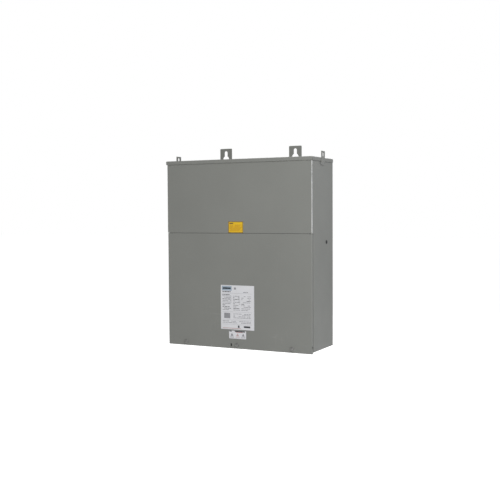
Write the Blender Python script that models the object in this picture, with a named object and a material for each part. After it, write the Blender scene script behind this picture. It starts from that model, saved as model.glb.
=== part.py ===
# Automatic transfer switch in a wall-mounted outdoor enclosure, modelled closed and on the utility source.
# Metres, +Z up. The origin is the centre of the back panel's rear face, which lies on the wall.
# The front faces -Y and +X is the viewer's right.

import math

import bmesh
import bpy
from mathutils import Matrix, Vector

# ---- driving dimensions ---------------------------------------------------------------------------

gap = 0.0003                    # between pieces that rest on each other

# enclosure
width = 0.536
height = 0.622
depth = 0.178                   # wall to the covers' front face
sheet = 0.0018                  # steel sheet thickness
flange_width = 0.014            # front and rear flanges of the side walls
cover_return = 0.009            # depth of the covers' folded edges
cover_rest = 0.0012             # shadow gap behind the folded edges
upper_cover_height = 0.244      # top of the box down to the seam
seam_gap = 0.0012
lower_overhang = 0.005          # the lower cover hangs below the box
lower_inset = 0.0012            # the lower cover is this much narrower each side
lip_height = 0.012              # tucked lip above the seam
lip_lap = 0.010                 # lip's lap on the back of the lower cover
lip_clear = 0.0006              # tucked lip to the upper cover
lip_end_clear = 0.0015          # tucked lip short of the side walls' flanges
corner_relief = 0.006           # folded edges of the lower cover end this far below the seam
cap_lip = 0.012
cap_clear = 0.0005
pan_flange = 0.017              # upturned edges of the bottom pan
rail_rise = 0.018               # cross rail above the seam
rail_height = 0.028
rail_depth = 0.020

# wall fixing
ear_width = 0.0465
ear_rise = 0.0494               # keyhole ears above the top of the box
ear_from_side = 0.1346
ear_corner = 0.003
key_slot_radius = 0.0058
key_round_radius = 0.0118
key_round_rise = 0.0120         # centre of the round part above the top of the box
key_top_land = 0.0085           # metal left above the slot
foot_hole_radius = 0.0045
foot_hole_rise = 0.030

# lifting ears
lift_width = 0.029
lift_rise = 0.0208
lift_drop = 0.024
lift_sheet = 0.0024
lift_pad = 0.008                # flat part that lies on the side wall
lift_joggle_end = 0.001         # the step outward ends this far below the cap's edge
lift_from_wall = 0.095
lift_hole_radius = 0.005
lift_hole_length = 0.014
lift_hole_rise = 0.0095

# cover fasteners
screw_from_side = 0.071
screw_rise = 0.0125             # above the lower cover's bottom edge
screw_radius = 0.0024
screw_head_radius = 0.007
screw_head_height = 0.0052
screw_crown_share = 0.74        # hexagon's radius as a share of the washer's
screw_washer = 0.0012
screw_grip = 0.0085             # shank behind the cover
screw_hole_clear = 0.0008
flange_hole_clear = 0.0022
centre_screw_x = -0.002
seal_slot_x = -0.0235
seal_slot_width = 0.0055
seal_slot_height = 0.0095
seal_tab_sheet = 0.0025
seal_tab_set = 0.002            # tab's edge behind the cover's sheet
seal_hole_radius = 0.0022
seal_hole_set = 0.0052          # hole's centre from the tab's edge

# plates stuck on the covers
label_sheet = 0.0005
caution_size = (0.055, 0.0375)
caution_x = -0.0038
nameplate_size = (0.124, 0.147)
nameplate_x = 0.0008
nameplate_rise = 0.064          # lower edge above the lower cover's bottom edge
small_label_size = (0.0635, 0.0265)
small_label_drop = 0.0038       # below the nameplate

# side plug
plug_radius = 0.006
plug_hole_radius = 0.0048
plug_head = 0.0016
plug_bevel = 0.0008
plug_stem = 0.004               # stem past the sheet
plug_from_wall = 0.0575
plug_rise = 0.037               # above the middle of the box

# inner plate
plate_side_margin = 0.053
plate_top_margin = 0.026
plate_bottom_margin = 0.076
plate_sheet = 0.0025
plate_stand = 0.010             # depth of its folded edges
bar_margin = 0.030              # terminal bars from the plate's edges

# transfer contacts
contactor_x = -0.045
shaft_below_seam = 0.112
shaft_stand = 0.0475            # shaft axis in front of the inner plate
shaft_radius = 0.005
shaft_end = 0.004               # left end of the shaft past the contactor base
shaft_tail = 0.003              # right end past the handle
running_clear = 0.0004
pole_width = 0.0775
barrier = 0.005
base_depth = 0.020
base_rise = 0.120
base_drop = 0.150
chamber_half = 0.080
barrier_reach = 0.118
source_column = 0.026
load_column_from_far_wall = 0.0175
rotor_radius = 0.013
rotor_clear = 0.0008
rotor_end_clear = 0.002
throw_half_angle = math.radians(12.0)
arm_reach = 0.042
arm_width = 0.014
arm_thickness = 0.005
tip_radius = 0.005
tip_height = 0.002
tip_from_axis = 0.037
strip_thickness = 0.003
strip_width = 0.020
strip_over_arm = 0.001          # fixed contact past the arm's end
strip_bend_set = 0.008          # bends of the fixed contacts, outside the rotor
strip_bend_rise = 0.016
lug_width = 0.026
lug_height = 0.034
lug_depth = 0.030
lug_bore = 0.0078
lug_screw_bore = 0.0055
upper_lug_margin = 0.004        # lugs from the ends of the contactor base
lower_lug_margin = 0.006
chute_half = 0.036
chute_depth = 0.024
chute_spine = 0.0035
chute_plate = 0.0016
chute_plate_count = 7
chute_side_clear = 0.0006
chute_from_arm = 0.0035

# operating mechanism
mechanism_offset = 0.008        # coils from the contactor base
crank_radius = 0.026
crank_pin_radius = 0.003
crank_pin_length = 0.026
crank_web = 0.004
crank_arm_half = 0.005
crank_arm_land = 0.001          # arm past the pin's centre
crank_hub_radius = 0.009
crank_hub_length = 0.012
plunger_radius = 0.007
plunger_clear = 0.0007
plunger_eye_offset = 0.008
plunger_eye_sheet = 0.003
plunger_shoulder = 0.012        # plunger's shoulder from the pin
shoulder_height = 0.003
shoulder_overhang = 0.0026
eye_clear = 0.0005
eye_float = 0.0014              # extra length of the eye's slot
eye_land = 0.003                # metal beside the slot
eye_end = 0.0085                # eye's end past the pin
coil_wall = 0.0125
coil_length = 0.046
coil_from_shaft = 0.038
coil_flange = 0.003
coil_wrap_drop = 0.002          # winding below the bobbin's flanges
plunger_seat = 0.003            # seated plunger short of the coil's far end
yoke_sheet = 0.0025
frame_sheet = 0.0025
frame_half = 0.096
frame_back_width = 0.030
frame_front_set = 0.004         # frame's edge behind the front of the coils
leg_inset = 0.006
leg_half = 0.014
bushing_wall = 0.0032
bushing_length = 0.006
spring_wire = 0.0006            # wire radius
spring_clear = 0.0006           # spring to the plunger
spring_turns = 5
handle_sheet = 0.006
handle_stand = 0.004            # handle from the frame
handle_arm_thin = 0.0005        # arm thinner than the hub, each face
handle_hub_radius = 0.011
handle_width = 0.012
handle_length = 0.072
grip_length = 0.034
grip_wall = 0.0035

# control board
board_width = 0.165
board_height = 0.120
board_side_margin = 0.020
board_top_margin = 0.030
board_sheet = 0.0016
board_stand = 0.012
tray_sheet = 0.002
tray_post_radius = 0.004
tray_post_inset = 0.008
transformer_size = (0.050, 0.038, 0.045)
transformer_margin = (0.016, 0.010)     # from the board's left and top edges
terminal_size = (0.112, 0.016, 0.014)
terminal_ways = 8
terminal_rise = 0.006
way_half_width = 0.32           # shares of a way's pitch, and of the strip's height and depth
way_low, way_high = 0.45, 0.88
way_floor = 0.6
switch_block_size = (0.040, 0.012, 0.018)
switch_margin = (0.014, 0.030)  # from the board's right and lower edges
button_place = 0.25             # shares of the block's width
toggle_place = 0.72
button_radius = 0.0042
button_rise = 0.005
button_travel = 0.002
button_pocket = 0.007
toggle_lever = (0.005, 0.013, 0.0042)
toggle_half_angle = math.radians(14.0)
toggle_axle_set = 0.004         # axle behind the block's face
toggle_tail = 0.002             # lever past its axle
toggle_well_depth = 0.0082
toggle_well_clear = 0.0014

# fuse block
fuse_ways = 2
fuse_way_width = 0.024
fuse_wall = 0.003
fuse_block_height = 0.078
fuse_block_depth = 0.034
fuse_floor = 0.004
carrier_clear = 0.0008
carrier_reach = 0.042           # carrier front from the fuse floor
carrier_radius = 0.009          # round lower end about its pivot
carrier_rise = 0.004            # round end above the block's lower edge
carrier_top_drop = 0.003
fuse_wall_trim = 0.001
nose_depth = 0.016              # finger nose at the top of a carrier's front
nose_root = 0.020               # where the front face starts, above the pivot
nose_under, nose_low, nose_high = 0.026, 0.020, 0.008     # down from the carrier's top
nose_slope = 0.010
carrier_pin_bite = 0.42         # share of a wall the pivot pin runs into
pivot_radius = 0.0022
fuse_side_margin = 0.046
fuse_top_margin = 0.060

# terminal bars
neutral_size = (0.024, 0.017, 0.150)
neutral_stand = 0.016
insulator_inset = 0.004
neutral_hole_radius = 0.0048
neutral_holes = 4
ground_size = (0.016, 0.014, 0.120)
ground_hole_radius = 0.0036
ground_holes = 4
bar_bottom_margin = 0.025

# ---- places worked out from them ------------------------------------------------------------------

half_width = width / 2
top_z = height / 2
bottom_z = -height / 2
front_y = -depth
seam_z = top_z - upper_cover_height
flange_y = front_y + cover_return + cover_rest
cap_under_z = top_z - sheet
wall_top_z = cap_under_z - gap
wall_back_y = -(sheet + gap)
pan_front_y = flange_y + sheet + gap
pan_back_y = wall_back_y - sheet - gap
inner_half = half_width - sheet - gap
ear_x = half_width - ear_from_side
lower_edge_z = bottom_z - lower_overhang
screw_z = lower_edge_z + screw_rise

plate_back_y = -(sheet + gap) - plate_stand
plate_front_y = plate_back_y - plate_sheet
seat_y = plate_front_y - gap
plate_half = half_width - plate_side_margin
plate_top = top_z - plate_top_margin
plate_bottom = bottom_z + plate_bottom_margin

shaft_y = seat_y - shaft_stand
shaft_z = seam_z - shaft_below_seam
base_half = (2 * pole_width + 3 * barrier) / 2
base_left = contactor_x - base_half
base_right = contactor_x + base_half
base_front_y = seat_y - base_depth
strip_y = base_front_y - gap - strip_thickness / 2

bore_radius = plunger_radius + plunger_clear
coil_radius = bore_radius + coil_wall
mechanism_x = base_right + mechanism_offset + coil_radius
frame_wall_x = mechanism_x + coil_radius + gap
pin_y = shaft_y - crank_radius
pin_rise = crank_radius * math.sin(throw_half_angle)

board_right = plate_half - board_side_margin
board_left = board_right - board_width
board_top = plate_top - board_top_margin
board_bottom = board_top - board_height
board_back_y = seat_y - tray_sheet - board_stand
board_front_y = board_back_y - board_sheet
board_seat_y = board_front_y - gap

# ---- finishes -------------------------------------------------------------------------------------

finishes = {
    # name: (colour, roughness, metallic)
    "enclosure_paint": ((0.235, 0.240, 0.222), 0.45, 0.0),
    "zinc_steel": ((0.60, 0.60, 0.57), 0.35, 1.0),
    "steel": ((0.50, 0.50, 0.50), 0.35, 1.0),
    "copper": ((0.72, 0.38, 0.24), 0.30, 1.0),
    "aluminium": ((0.72, 0.73, 0.74), 0.35, 1.0),
    "brass": ((0.70, 0.55, 0.25), 0.30, 1.0),
    "moulding": ((0.035, 0.035, 0.038), 0.5, 0.0),
    "arc_plate": ((0.30, 0.29, 0.28), 0.5, 1.0),
    "coil_tape": ((0.42, 0.20, 0.05), 0.6, 0.0),
    "red_plastic": ((0.55, 0.03, 0.02), 0.4, 0.0),
    "board_green": ((0.02, 0.16, 0.07), 0.35, 0.0),
    "terminal_green": ((0.05, 0.30, 0.12), 0.4, 0.0),
    "black_plastic": ((0.02, 0.02, 0.02), 0.4, 0.0),
    "grey_plastic": ((0.30, 0.31, 0.32), 0.45, 0.0),
    "white_plastic": ((0.75, 0.75, 0.72), 0.4, 0.0),
    "white_vinyl": ((0.62, 0.62, 0.64), 0.35, 0.0),
    "yellow_vinyl": ((0.62, 0.35, 0.01), 0.35, 0.0),
}
finish_materials = {}


def finish(name):
    if name not in finish_materials:
        colour, roughness, metallic = finishes[name]
        material = bpy.data.materials.new(name)
        material.use_nodes = True
        shader = material.node_tree.nodes["Principled BSDF"]
        shader.inputs["Base Color"].default_value = (*colour, 1.0)
        shader.inputs["Roughness"].default_value = roughness
        shader.inputs["Metallic"].default_value = metallic
        finish_materials[name] = material
    return finish_materials[name]


# ---- modelling helpers ----------------------------------------------------------------------------

def add_object(name, builder, finish_name, location, parent=None):
    mesh = bpy.data.meshes.new(name)
    builder.normal_update()
    bmesh.ops.recalc_face_normals(builder, faces=builder.faces)
    builder.to_mesh(mesh)
    builder.free()
    piece = bpy.data.objects.new(name, mesh)
    bpy.context.collection.objects.link(piece)
    piece.location = location
    if finish_name:
        mesh.materials.append(finish(finish_name))
    if parent:
        piece.parent = parent
        piece.location = Vector(location) - parent.location
    return piece


def block(name, low, high, finish_name=None, parent=None):
    low, high = Vector(low), Vector(high)
    builder = bmesh.new()
    bmesh.ops.create_cube(builder, size=1.0, matrix=Matrix.Diagonal((*(high - low), 1.0)))
    return add_object(name, builder, finish_name, (low + high) / 2, parent)


# Which coordinates an outline's two numbers are, for each axis it is extruded along.
outline_axes = {"x": (1, 2, 0), "y": (0, 2, 1), "z": (0, 1, 2)}


def prism(name, outline, axis, low, high, finish_name=None, parent=None):
    first, second, along = outline_axes[axis]
    middle = Vector((0, 0, 0))
    middle[first] = (min(p[0] for p in outline) + max(p[0] for p in outline)) / 2
    middle[second] = (min(p[1] for p in outline) + max(p[1] for p in outline)) / 2
    middle[along] = (low + high) / 2
    builder = bmesh.new()
    start = []
    for a, b in outline:
        point = Vector((0, 0, 0))
        point[first], point[second], point[along] = a, b, low
        start.append(builder.verts.new(point - middle))
    face = builder.faces.new(start)
    grown = bmesh.ops.extrude_face_region(builder, geom=[face])
    step = Vector((0, 0, 0))
    step[along] = high - low
    raised = [v for v in grown["geom"] if isinstance(v, bmesh.types.BMVert)]
    bmesh.ops.translate(builder, vec=step, verts=raised)
    return add_object(name, builder, finish_name, middle, parent)


turned_matrices = {
    "x": Matrix.Rotation(math.radians(90), 4, "Y"),
    "y": Matrix.Rotation(math.radians(-90), 4, "X"),
    "z": Matrix.Identity(4),
}


def turned(name, profile, axis, centre, finish_name=None, parent=None, sides=20):
    """Turns (radius, distance along the axis) points; they start and end on the axis, or the ring closes."""
    builder = bmesh.new()
    rings = []
    for radius, along in profile:
        if radius == 0:
            rings.append([builder.verts.new((0, 0, along))])
        else:
            rings.append([builder.verts.new((radius * math.cos(math.tau * i / sides),
                                             radius * math.sin(math.tau * i / sides), along))
                          for i in range(sides)])
    closed = profile[0][0] != 0
    for ring, following in zip(rings, rings[1:] + rings[:1] if closed else rings[1:]):
        for i in range(sides):
            j = (i + 1) % sides
            if len(ring) == 1:
                builder.faces.new((ring[0], following[j], following[i]))
            elif len(following) == 1:
                builder.faces.new((ring[i], ring[j], following[0]))
            else:
                builder.faces.new((ring[i], ring[j], following[j], following[i]))
    builder.transform(turned_matrices[axis])
    piece = add_object(name, builder, finish_name, centre, parent)
    piece.data.shade_smooth()
    piece.data.set_sharp_from_angle(angle=math.radians(35))
    return piece


def rod(name, radius, length, axis, centre, finish_name=None, parent=None, sides=20):
    profile = [(0, -length / 2), (radius, -length / 2), (radius, length / 2), (0, length / 2)]
    return turned(name, profile, axis, centre, finish_name, parent, sides)


def tube(name, inner, outer, length, axis, centre, finish_name=None, parent=None, sides=20):
    profile = [(inner, -length / 2), (outer, -length / 2), (outer, length / 2), (inner, length / 2)]
    return turned(name, profile, axis, centre, finish_name, parent, sides)


def combine(target, tool, operation):
    tool.hide_render = True
    tool.display_type = "WIRE"
    if target.parent and not tool.parent:
        tool.parent = target.parent
        tool.location = tool.location - target.parent.location
    step = target.modifiers.new(tool.name, "BOOLEAN")
    step.operation = operation
    step.object = tool
    step.solver = "EXACT"
    return target


def cut(target, tool):
    return combine(target, tool, "DIFFERENCE")


def unite(target, tool):
    return combine(target, tool, "UNION")


def pivot(name, location, tilt=0.0):
    empty = bpy.data.objects.new(name, None)
    bpy.context.collection.objects.link(empty)
    empty.location = location
    empty.rotation_euler.x = tilt
    return empty


def arc(centre, radius, start, stop, steps):
    return [(centre[0] + radius * math.cos(math.radians(start + (stop - start) * i / steps)),
             centre[1] + radius * math.sin(math.radians(start + (stop - start) * i / steps)))
            for i in range(steps + 1)]


def slot_outline(centre, radius, length, upright=True, steps=6):
    reach = length / 2 - radius
    dx, dz = (0, reach) if upright else (reach, 0)
    turn = 0 if upright else -90
    return (arc((centre[0] + dx, centre[1] + dz), radius, turn, turn + 180, steps)
            + arc((centre[0] - dx, centre[1] - dz), radius, turn + 180, turn + 360, steps))


def strip_outline(path, thickness):
    """Both sides of a bent strip whose middle line is the path."""
    points = [Vector(p) for p in path]
    normals = []
    for a, b in zip(points, points[1:]):
        run = (b - a).normalized()
        normals.append(Vector((-run.y, run.x)))
    left, right = [], []
    for i, point in enumerate(points):
        before = normals[max(i - 1, 0)]
        after = normals[min(i, len(normals) - 1)]
        middle = (before + after).normalized()
        offset = middle * (thickness / 2 / middle.dot(after))
        left.append(tuple(point + offset))
        right.append(tuple(point - offset))
    return left + right[::-1]


def in_throw(forward, up, sign=1):
    """A place in the arm's own frame, with the arm thrown up (sign 1) or down (sign -1), as (y, z)."""
    angle = throw_half_angle
    y = -forward * math.cos(angle) + up * math.sin(angle)
    z = forward * math.sin(angle) + up * math.cos(angle)
    return shaft_y + y, shaft_z + sign * z


# ---- enclosure ------------------------------------------------------------------------------------

def keyhole_outline(x):
    round_z = top_z + key_round_rise
    slot_z = top_z + ear_rise - key_top_land - key_slot_radius
    shoulder = math.degrees(math.acos(key_slot_radius / key_round_radius))
    return (arc((x, slot_z), key_slot_radius, 0, 180, 8)
            + arc((x, round_z), key_round_radius, 180 - shoulder, 360 + shoulder, 16))


def make_back_panel():
    outline = [(-half_width, bottom_z), (half_width, bottom_z), (half_width, top_z)]
    ear_top = top_z + ear_rise
    for x in (ear_x, -ear_x):
        right, left = x + ear_width / 2, x - ear_width / 2
        outline.append((right, top_z))
        outline += arc((right - ear_corner, ear_top - ear_corner), ear_corner, 0, 90, 3)
        outline += arc((left + ear_corner, ear_top - ear_corner), ear_corner, 90, 180, 3)
        outline.append((left, top_z))
    outline.append((-half_width, top_z))
    panel = prism("back_panel", outline, "y", -sheet, 0, "enclosure_paint")
    for side, x in (("left", -ear_x), ("right", ear_x)):
        cut(panel, prism(f"keyhole_{side}", keyhole_outline(x), "y", -2 * sheet, sheet))
        cut(panel, rod(f"foot_hole_{side}", foot_hole_radius, 4 * sheet, "y",
                       (x, -sheet / 2, bottom_z + foot_hole_rise), sides=16))


def make_side_wall(side, sign):
    outer, web = half_width, half_width - sheet
    inner = half_width - flange_width
    outline = [(outer, wall_back_y), (outer, flange_y), (inner, flange_y), (inner, flange_y + sheet),
               (web, flange_y + sheet), (web, wall_back_y - sheet), (inner, wall_back_y - sheet),
               (inner, wall_back_y)]
    outline = [(sign * x, y) for x, y in outline]
    wall = prism(f"side_wall_{side}", outline, "z", bottom_z, wall_top_z, "enclosure_paint")
    if side == "right":
        cut(wall, rod("plug_hole", plug_hole_radius, 6 * sheet, "x",
                      (web, -plug_from_wall, plug_rise), sides=16))


def make_side_plug():
    reach = sheet + plug_stem
    stem = plug_hole_radius - gap
    profile = [(0, plug_head + gap), (plug_radius - plug_bevel, plug_head + gap),
               (plug_radius, gap + plug_head / 2), (plug_radius, gap), (stem, gap),
               (stem, -reach), (0, -reach)]
    turned("side_plug", profile, "x", (half_width, -plug_from_wall, plug_rise), "black_plastic", sides=16)


def make_bottom_pan():
    rise = bottom_z + pan_flange
    outline = [(pan_back_y, bottom_z), (pan_front_y, bottom_z), (pan_front_y, rise),
               (pan_front_y + sheet, rise), (pan_front_y + sheet, bottom_z + sheet),
               (pan_back_y - sheet, bottom_z + sheet),
               (pan_back_y - sheet, rise), (pan_back_y, rise)]
    pan = prism("bottom_pan", outline, "x", -inner_half, inner_half, "enclosure_paint")
    tab_left = seal_slot_x - seal_tab_sheet / 2
    tab_bottom = bottom_z + sheet / 2
    tab_front = front_y + sheet + seal_tab_set
    tab = block("seal_tab", (tab_left, tab_front, tab_bottom),
                (tab_left + seal_tab_sheet, pan_front_y + sheet / 2, screw_z + seal_slot_height / 2))
    cut(tab, rod("seal_hole", seal_hole_radius, 4 * seal_tab_sheet, "x",
                 (seal_slot_x, tab_front + seal_hole_set, screw_z), sides=12))
    unite(pan, tab)
    for side, x in screw_places():
        cut(pan, rod(f"flange_hole_{side}", screw_radius + flange_hole_clear, 4 * sheet, "y",
                     (x, pan_front_y + sheet / 2, screw_z), sides=16))


def make_top_cap():
    outer = half_width + cap_clear + sheet
    cap = block("top_cap", (-outer, front_y - cap_clear - sheet, top_z - cap_lip),
                (outer, wall_back_y, top_z), "enclosure_paint")
    inner = half_width + cap_clear
    cut(cap, block("cap_hollow", (-inner, front_y - cap_clear, top_z - 2 * cap_lip),
                   (inner, wall_back_y + cap_lip, cap_under_z)))


def make_upper_cover():
    low, high = seam_z + seam_gap / 2, wall_top_z
    cover = block("upper_cover", (-half_width, front_y, low), (half_width, front_y + cover_return, high),
                  "enclosure_paint")
    inner = half_width - sheet
    cut(cover, block("upper_hollow", (-inner, front_y + sheet, low - cover_return),
                     (inner, front_y + 2 * cover_return, high - sheet)))


def screw_places():
    reach = half_width - screw_from_side
    return (("left", -reach), ("centre", centre_screw_x), ("right", reach))


def make_lower_cover(hinge):
    low, high = lower_edge_z, seam_z - seam_gap / 2
    outer = half_width - lower_inset
    inner = outer - sheet
    cover = block("lower_cover", (-outer, front_y, low), (outer, front_y + cover_return, high),
                  "enclosure_paint", hinge)
    cut(cover, block("lower_hollow", (-inner, front_y + sheet, low + sheet),
                     (inner, front_y + 2 * cover_return, high + cover_return)))
    # corner reliefs where the folded edges end below the seam
    for side, sign in (("left", -1), ("right", 1)):
        edge = sorted((sign * (inner - sheet / 2), sign * (outer + sheet)))
        cut(cover, block(f"relief_{side}", (edge[0], front_y + sheet, high - corner_relief),
                         (edge[1], front_y + 2 * cover_return, high + cover_return)))
    # tucked lip: lies on the back of the cover below the seam, stands behind the upper cover above it
    lip_y = front_y + sheet + lip_clear
    lap_y = front_y + sheet / 2
    lip = [(lap_y, high - lip_lap), (lip_y + sheet, high - lip_lap), (lip_y + sheet, seam_z + lip_height),
           (lip_y, seam_z + lip_height), (lip_y, high - sheet), (lap_y, high - sheet)]
    lip_half = half_width - flange_width - lip_end_clear
    unite(cover, prism("tucked_lip", lip, "x", -lip_half, lip_half))
    for side, x in screw_places():
        cut(cover, rod(f"cover_hole_{side}", screw_radius + screw_hole_clear, 6 * sheet, "y",
                       (x, front_y, screw_z), sides=16))
        make_cover_screw(side, x, hinge)
    slot_half = seal_slot_width / 2
    cut(cover, block("seal_slot", (seal_slot_x - slot_half, front_y - sheet, screw_z - seal_slot_height / 2),
                     (seal_slot_x + slot_half, front_y + 2 * sheet, screw_z + seal_slot_height / 2)))


def make_cover_screw(side, x, hinge):
    washer = screw_washer
    crown = screw_head_radius * screw_crown_share
    shank_end = sheet + screw_grip
    profile = [(0, -gap - screw_head_height), (crown, -gap - screw_head_height), (crown, -gap - washer),
               (screw_head_radius, -gap - washer), (screw_head_radius, -gap), (screw_radius, -gap),
               (screw_radius, shank_end), (0, shank_end)]
    turned(f"cover_screw_{side}", profile, "y", (x, front_y, screw_z), "zinc_steel", hinge, sides=12)


def make_cross_rail():
    low = seam_z + rail_rise
    high = low + rail_height
    back = pan_front_y + rail_depth
    outline = [(pan_front_y, low), (back, low), (back, low + sheet), (pan_front_y + sheet, low + sheet),
               (pan_front_y + sheet, high - sheet), (back, high - sheet), (back, high), (pan_front_y, high)]
    prism("cross_rail", outline, "x", -inner_half, inner_half, "enclosure_paint")


def make_lifting_ear(side, sign):
    pad_x = half_width + gap + lift_sheet / 2
    over_x = half_width + cap_clear + sheet + gap + lift_sheet / 2
    joggle_low = top_z - lift_drop + lift_pad
    path = [(pad_x, top_z - lift_drop), (pad_x, joggle_low),
            (over_x, top_z - cap_lip - lift_joggle_end), (over_x, top_z + lift_rise)]
    outline = [(sign * x, z) for x, z in strip_outline(path, lift_sheet)]
    middle = -lift_from_wall
    ear = prism(f"lifting_ear_{side}", outline, "y", middle - lift_width / 2, middle + lift_width / 2,
                "enclosure_paint")
    hole = slot_outline((middle, top_z + lift_hole_rise), lift_hole_radius, lift_hole_length)
    reach = sorted((sign * half_width, sign * (over_x + 2 * lift_sheet)))
    cut(ear, prism(f"lifting_hole_{side}", hole, "x", *reach))


def make_labels(hinge):
    face = front_y - gap
    back = face - label_sheet

    def label(name, x, low_z, size, finish_name, parent):
        block(name, (x - size[0] / 2, back, low_z), (x + size[0] / 2, face, low_z + size[1]),
              finish_name, parent)

    nameplate_low = lower_edge_z + nameplate_rise
    label("caution_label", caution_x, seam_z + seam_gap, caution_size, "yellow_vinyl", None)
    label("nameplate_label", nameplate_x, nameplate_low, nameplate_size, "white_vinyl", hinge)
    label("small_label", nameplate_x, nameplate_low - small_label_drop - small_label_size[1],
          small_label_size, "white_vinyl", hinge)


# ---- inner plate and terminal bars ----------------------------------------------------------------

def make_backplate():
    back_y = -(sheet + gap)
    plate = block("backplate", (-plate_half, plate_front_y, plate_bottom), (plate_half, back_y, plate_top),
                  "zinc_steel")
    inner = plate_half - plate_sheet
    cut(plate, block("backplate_hollow", (-inner, plate_back_y, plate_bottom - plate_stand),
                     (inner, back_y + plate_stand, plate_top + plate_stand)))


def make_terminal_bars():
    low = plate_bottom + bar_bottom_margin
    wide, deep, tall = neutral_size
    x = plate_half - bar_margin
    half = wide / 2 - insulator_inset
    block("neutral_insulator", (x - half, seat_y - neutral_stand, low + insulator_inset),
          (x + half, seat_y, low + tall - insulator_inset), "red_plastic")
    bar_y = seat_y - neutral_stand - gap
    bar = block("neutral_bar", (x - wide / 2, bar_y - deep, low),
                (x + wide / 2, bar_y, low + tall), "aluminium")
    for i in range(neutral_holes):
        z = low + tall * (i + 0.5) / neutral_holes
        cut(bar, rod(f"neutral_hole_{i + 1}", neutral_hole_radius, 2 * wide, "x",
                     (x, bar_y - deep / 2, z), sides=16))
    wide, deep, tall = ground_size
    x = bar_margin - plate_half
    bar = block("ground_bar", (x - wide / 2, seat_y - deep, low),
                (x + wide / 2, seat_y, low + tall), "aluminium")
    for i in range(ground_holes):
        z = low + tall * (i + 0.5) / ground_holes
        cut(bar, rod(f"ground_hole_{i + 1}", ground_hole_radius, 2 * wide, "x",
                     (x, seat_y - deep / 2, z), sides=16))


# ---- transfer contacts ----------------------------------------------------------------------------

def pole_left(pole):
    return base_left + barrier + pole * (pole_width + barrier)


def source_x(pole):
    return pole_left(pole) + source_column


def load_x(pole):
    return pole_left(pole) + pole_width - load_column_from_far_wall


def make_contactor_base():
    base = block("contactor_base", (base_left, base_front_y, shaft_z - base_drop),
                 (base_right, seat_y, shaft_z + base_rise), "moulding")
    root_y = (seat_y + base_front_y) / 2
    for i in range(3):
        x = base_left + i * (pole_width + barrier)
        wall = block(f"barrier_{i + 1}", (x, seat_y - barrier_reach, shaft_z - chamber_half),
                     (x + barrier, root_y, shaft_z + chamber_half))
        clear = rotor_radius + rotor_clear if i == 1 else shaft_radius + running_clear
        unite(base, wall)
        cut(base, rod(f"barrier_bore_{i + 1}", clear, 3 * barrier, "x", (x + barrier / 2, shaft_y, shaft_z)))


def make_shaft(crank_pivot):
    start = base_left - shaft_end
    stop = frame_wall_x + frame_sheet + handle_stand + handle_sheet + shaft_tail
    rod("transfer_shaft", shaft_radius, stop - start, "x", ((start + stop) / 2, shaft_y, shaft_z), "steel",
        crank_pivot)
    left = pole_left(0) + rotor_end_clear
    right = pole_left(1) + pole_width - rotor_end_clear
    tube("rotor", shaft_radius + gap, rotor_radius, right - left, "x", ((left + right) / 2, shaft_y, shaft_z),
         "red_plastic", crank_pivot)


def make_contact_arm(side, pole, crank_pivot):
    x = source_x(pole)
    start = rotor_radius + gap
    half = arm_thickness / 2
    arm = block(f"contact_arm_{side}", (x - arm_width / 2, shaft_y - arm_reach, shaft_z - half),
                (x + arm_width / 2, shaft_y - start, shaft_z + half), "copper", crank_pivot)
    unite(arm, rod(f"arm_tips_{side}", tip_radius, arm_thickness + 2 * tip_height, "z",
                   (x, shaft_y - tip_from_axis, shaft_z), sides=16))


def make_fixed_contact(name, pole, sign, lug_low, lug_high):
    x = source_x(pole)
    rise = arm_thickness / 2 + 2 * tip_height + gap + strip_thickness / 2
    end = lug_high if sign > 0 else lug_low
    path = [in_throw(arm_reach + strip_over_arm, rise, sign),
            in_throw(rotor_radius + strip_bend_set, rise, sign),
            (strip_y, shaft_z + sign * (rotor_radius + strip_bend_rise)), (strip_y, end)]
    half = strip_width / 2
    contact = prism(name, strip_outline(path, strip_thickness), "x", x - half, x + half, "copper")
    # the contact button under the strip, square to the arm's face
    near = rise - strip_thickness / 2 - tip_height
    far = rise - strip_thickness / 4
    ends = (tip_from_axis - tip_radius, tip_from_axis + tip_radius)
    corners = [in_throw(ends[0], near, sign), in_throw(ends[1], near, sign), in_throw(ends[1], far, sign),
               in_throw(ends[0], far, sign)]
    unite(contact, prism(f"{name}_button", corners, "x", x - tip_radius, x + tip_radius))


def make_load_bus(side, pole, lug_low):
    x = load_x(pole)
    half = strip_width / 2
    block(f"load_bus_{side}", (x - half, strip_y - strip_thickness / 2, lug_low),
          (x + half, strip_y + strip_thickness / 2, shaft_z + rotor_radius), "copper")


def make_lug(name, x, low):
    back = strip_y - strip_thickness / 2 - gap
    high = low + lug_height
    lug = block(name, (x - lug_width / 2, back - lug_depth, low),
                (x + lug_width / 2, back, high), "aluminium")
    middle_y = back - lug_depth / 2
    cut(lug, rod(f"{name}_bore", lug_bore, 2 * lug_height, "z", (x, middle_y, (low + high) / 2)))
    cut(lug, rod(f"{name}_screw_bore", lug_screw_bore, lug_depth, "y",
                 (x, back - lug_depth, (low + high) / 2), sides=16))


def make_arc_chute(side, pole):
    back = shaft_y - arm_reach - chute_from_arm
    front = back - chute_depth
    spine = front + chute_spine
    pitch = (2 * chute_half - chute_plate) / (chute_plate_count - 1)
    outline = [(front, shaft_z + chute_half), (front, shaft_z - chute_half)]
    for i in range(chute_plate_count):
        z = shaft_z - chute_half + i * pitch
        if i:
            outline.append((spine, z))
        outline += [(back, z), (back, z + chute_plate)]
        if i < chute_plate_count - 1:
            outline.append((spine, z + chute_plate))
    left = pole_left(pole) + chute_side_clear
    prism(f"arc_chute_{side}", outline, "x", left, left + pole_width - 2 * chute_side_clear, "arc_plate")


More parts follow.
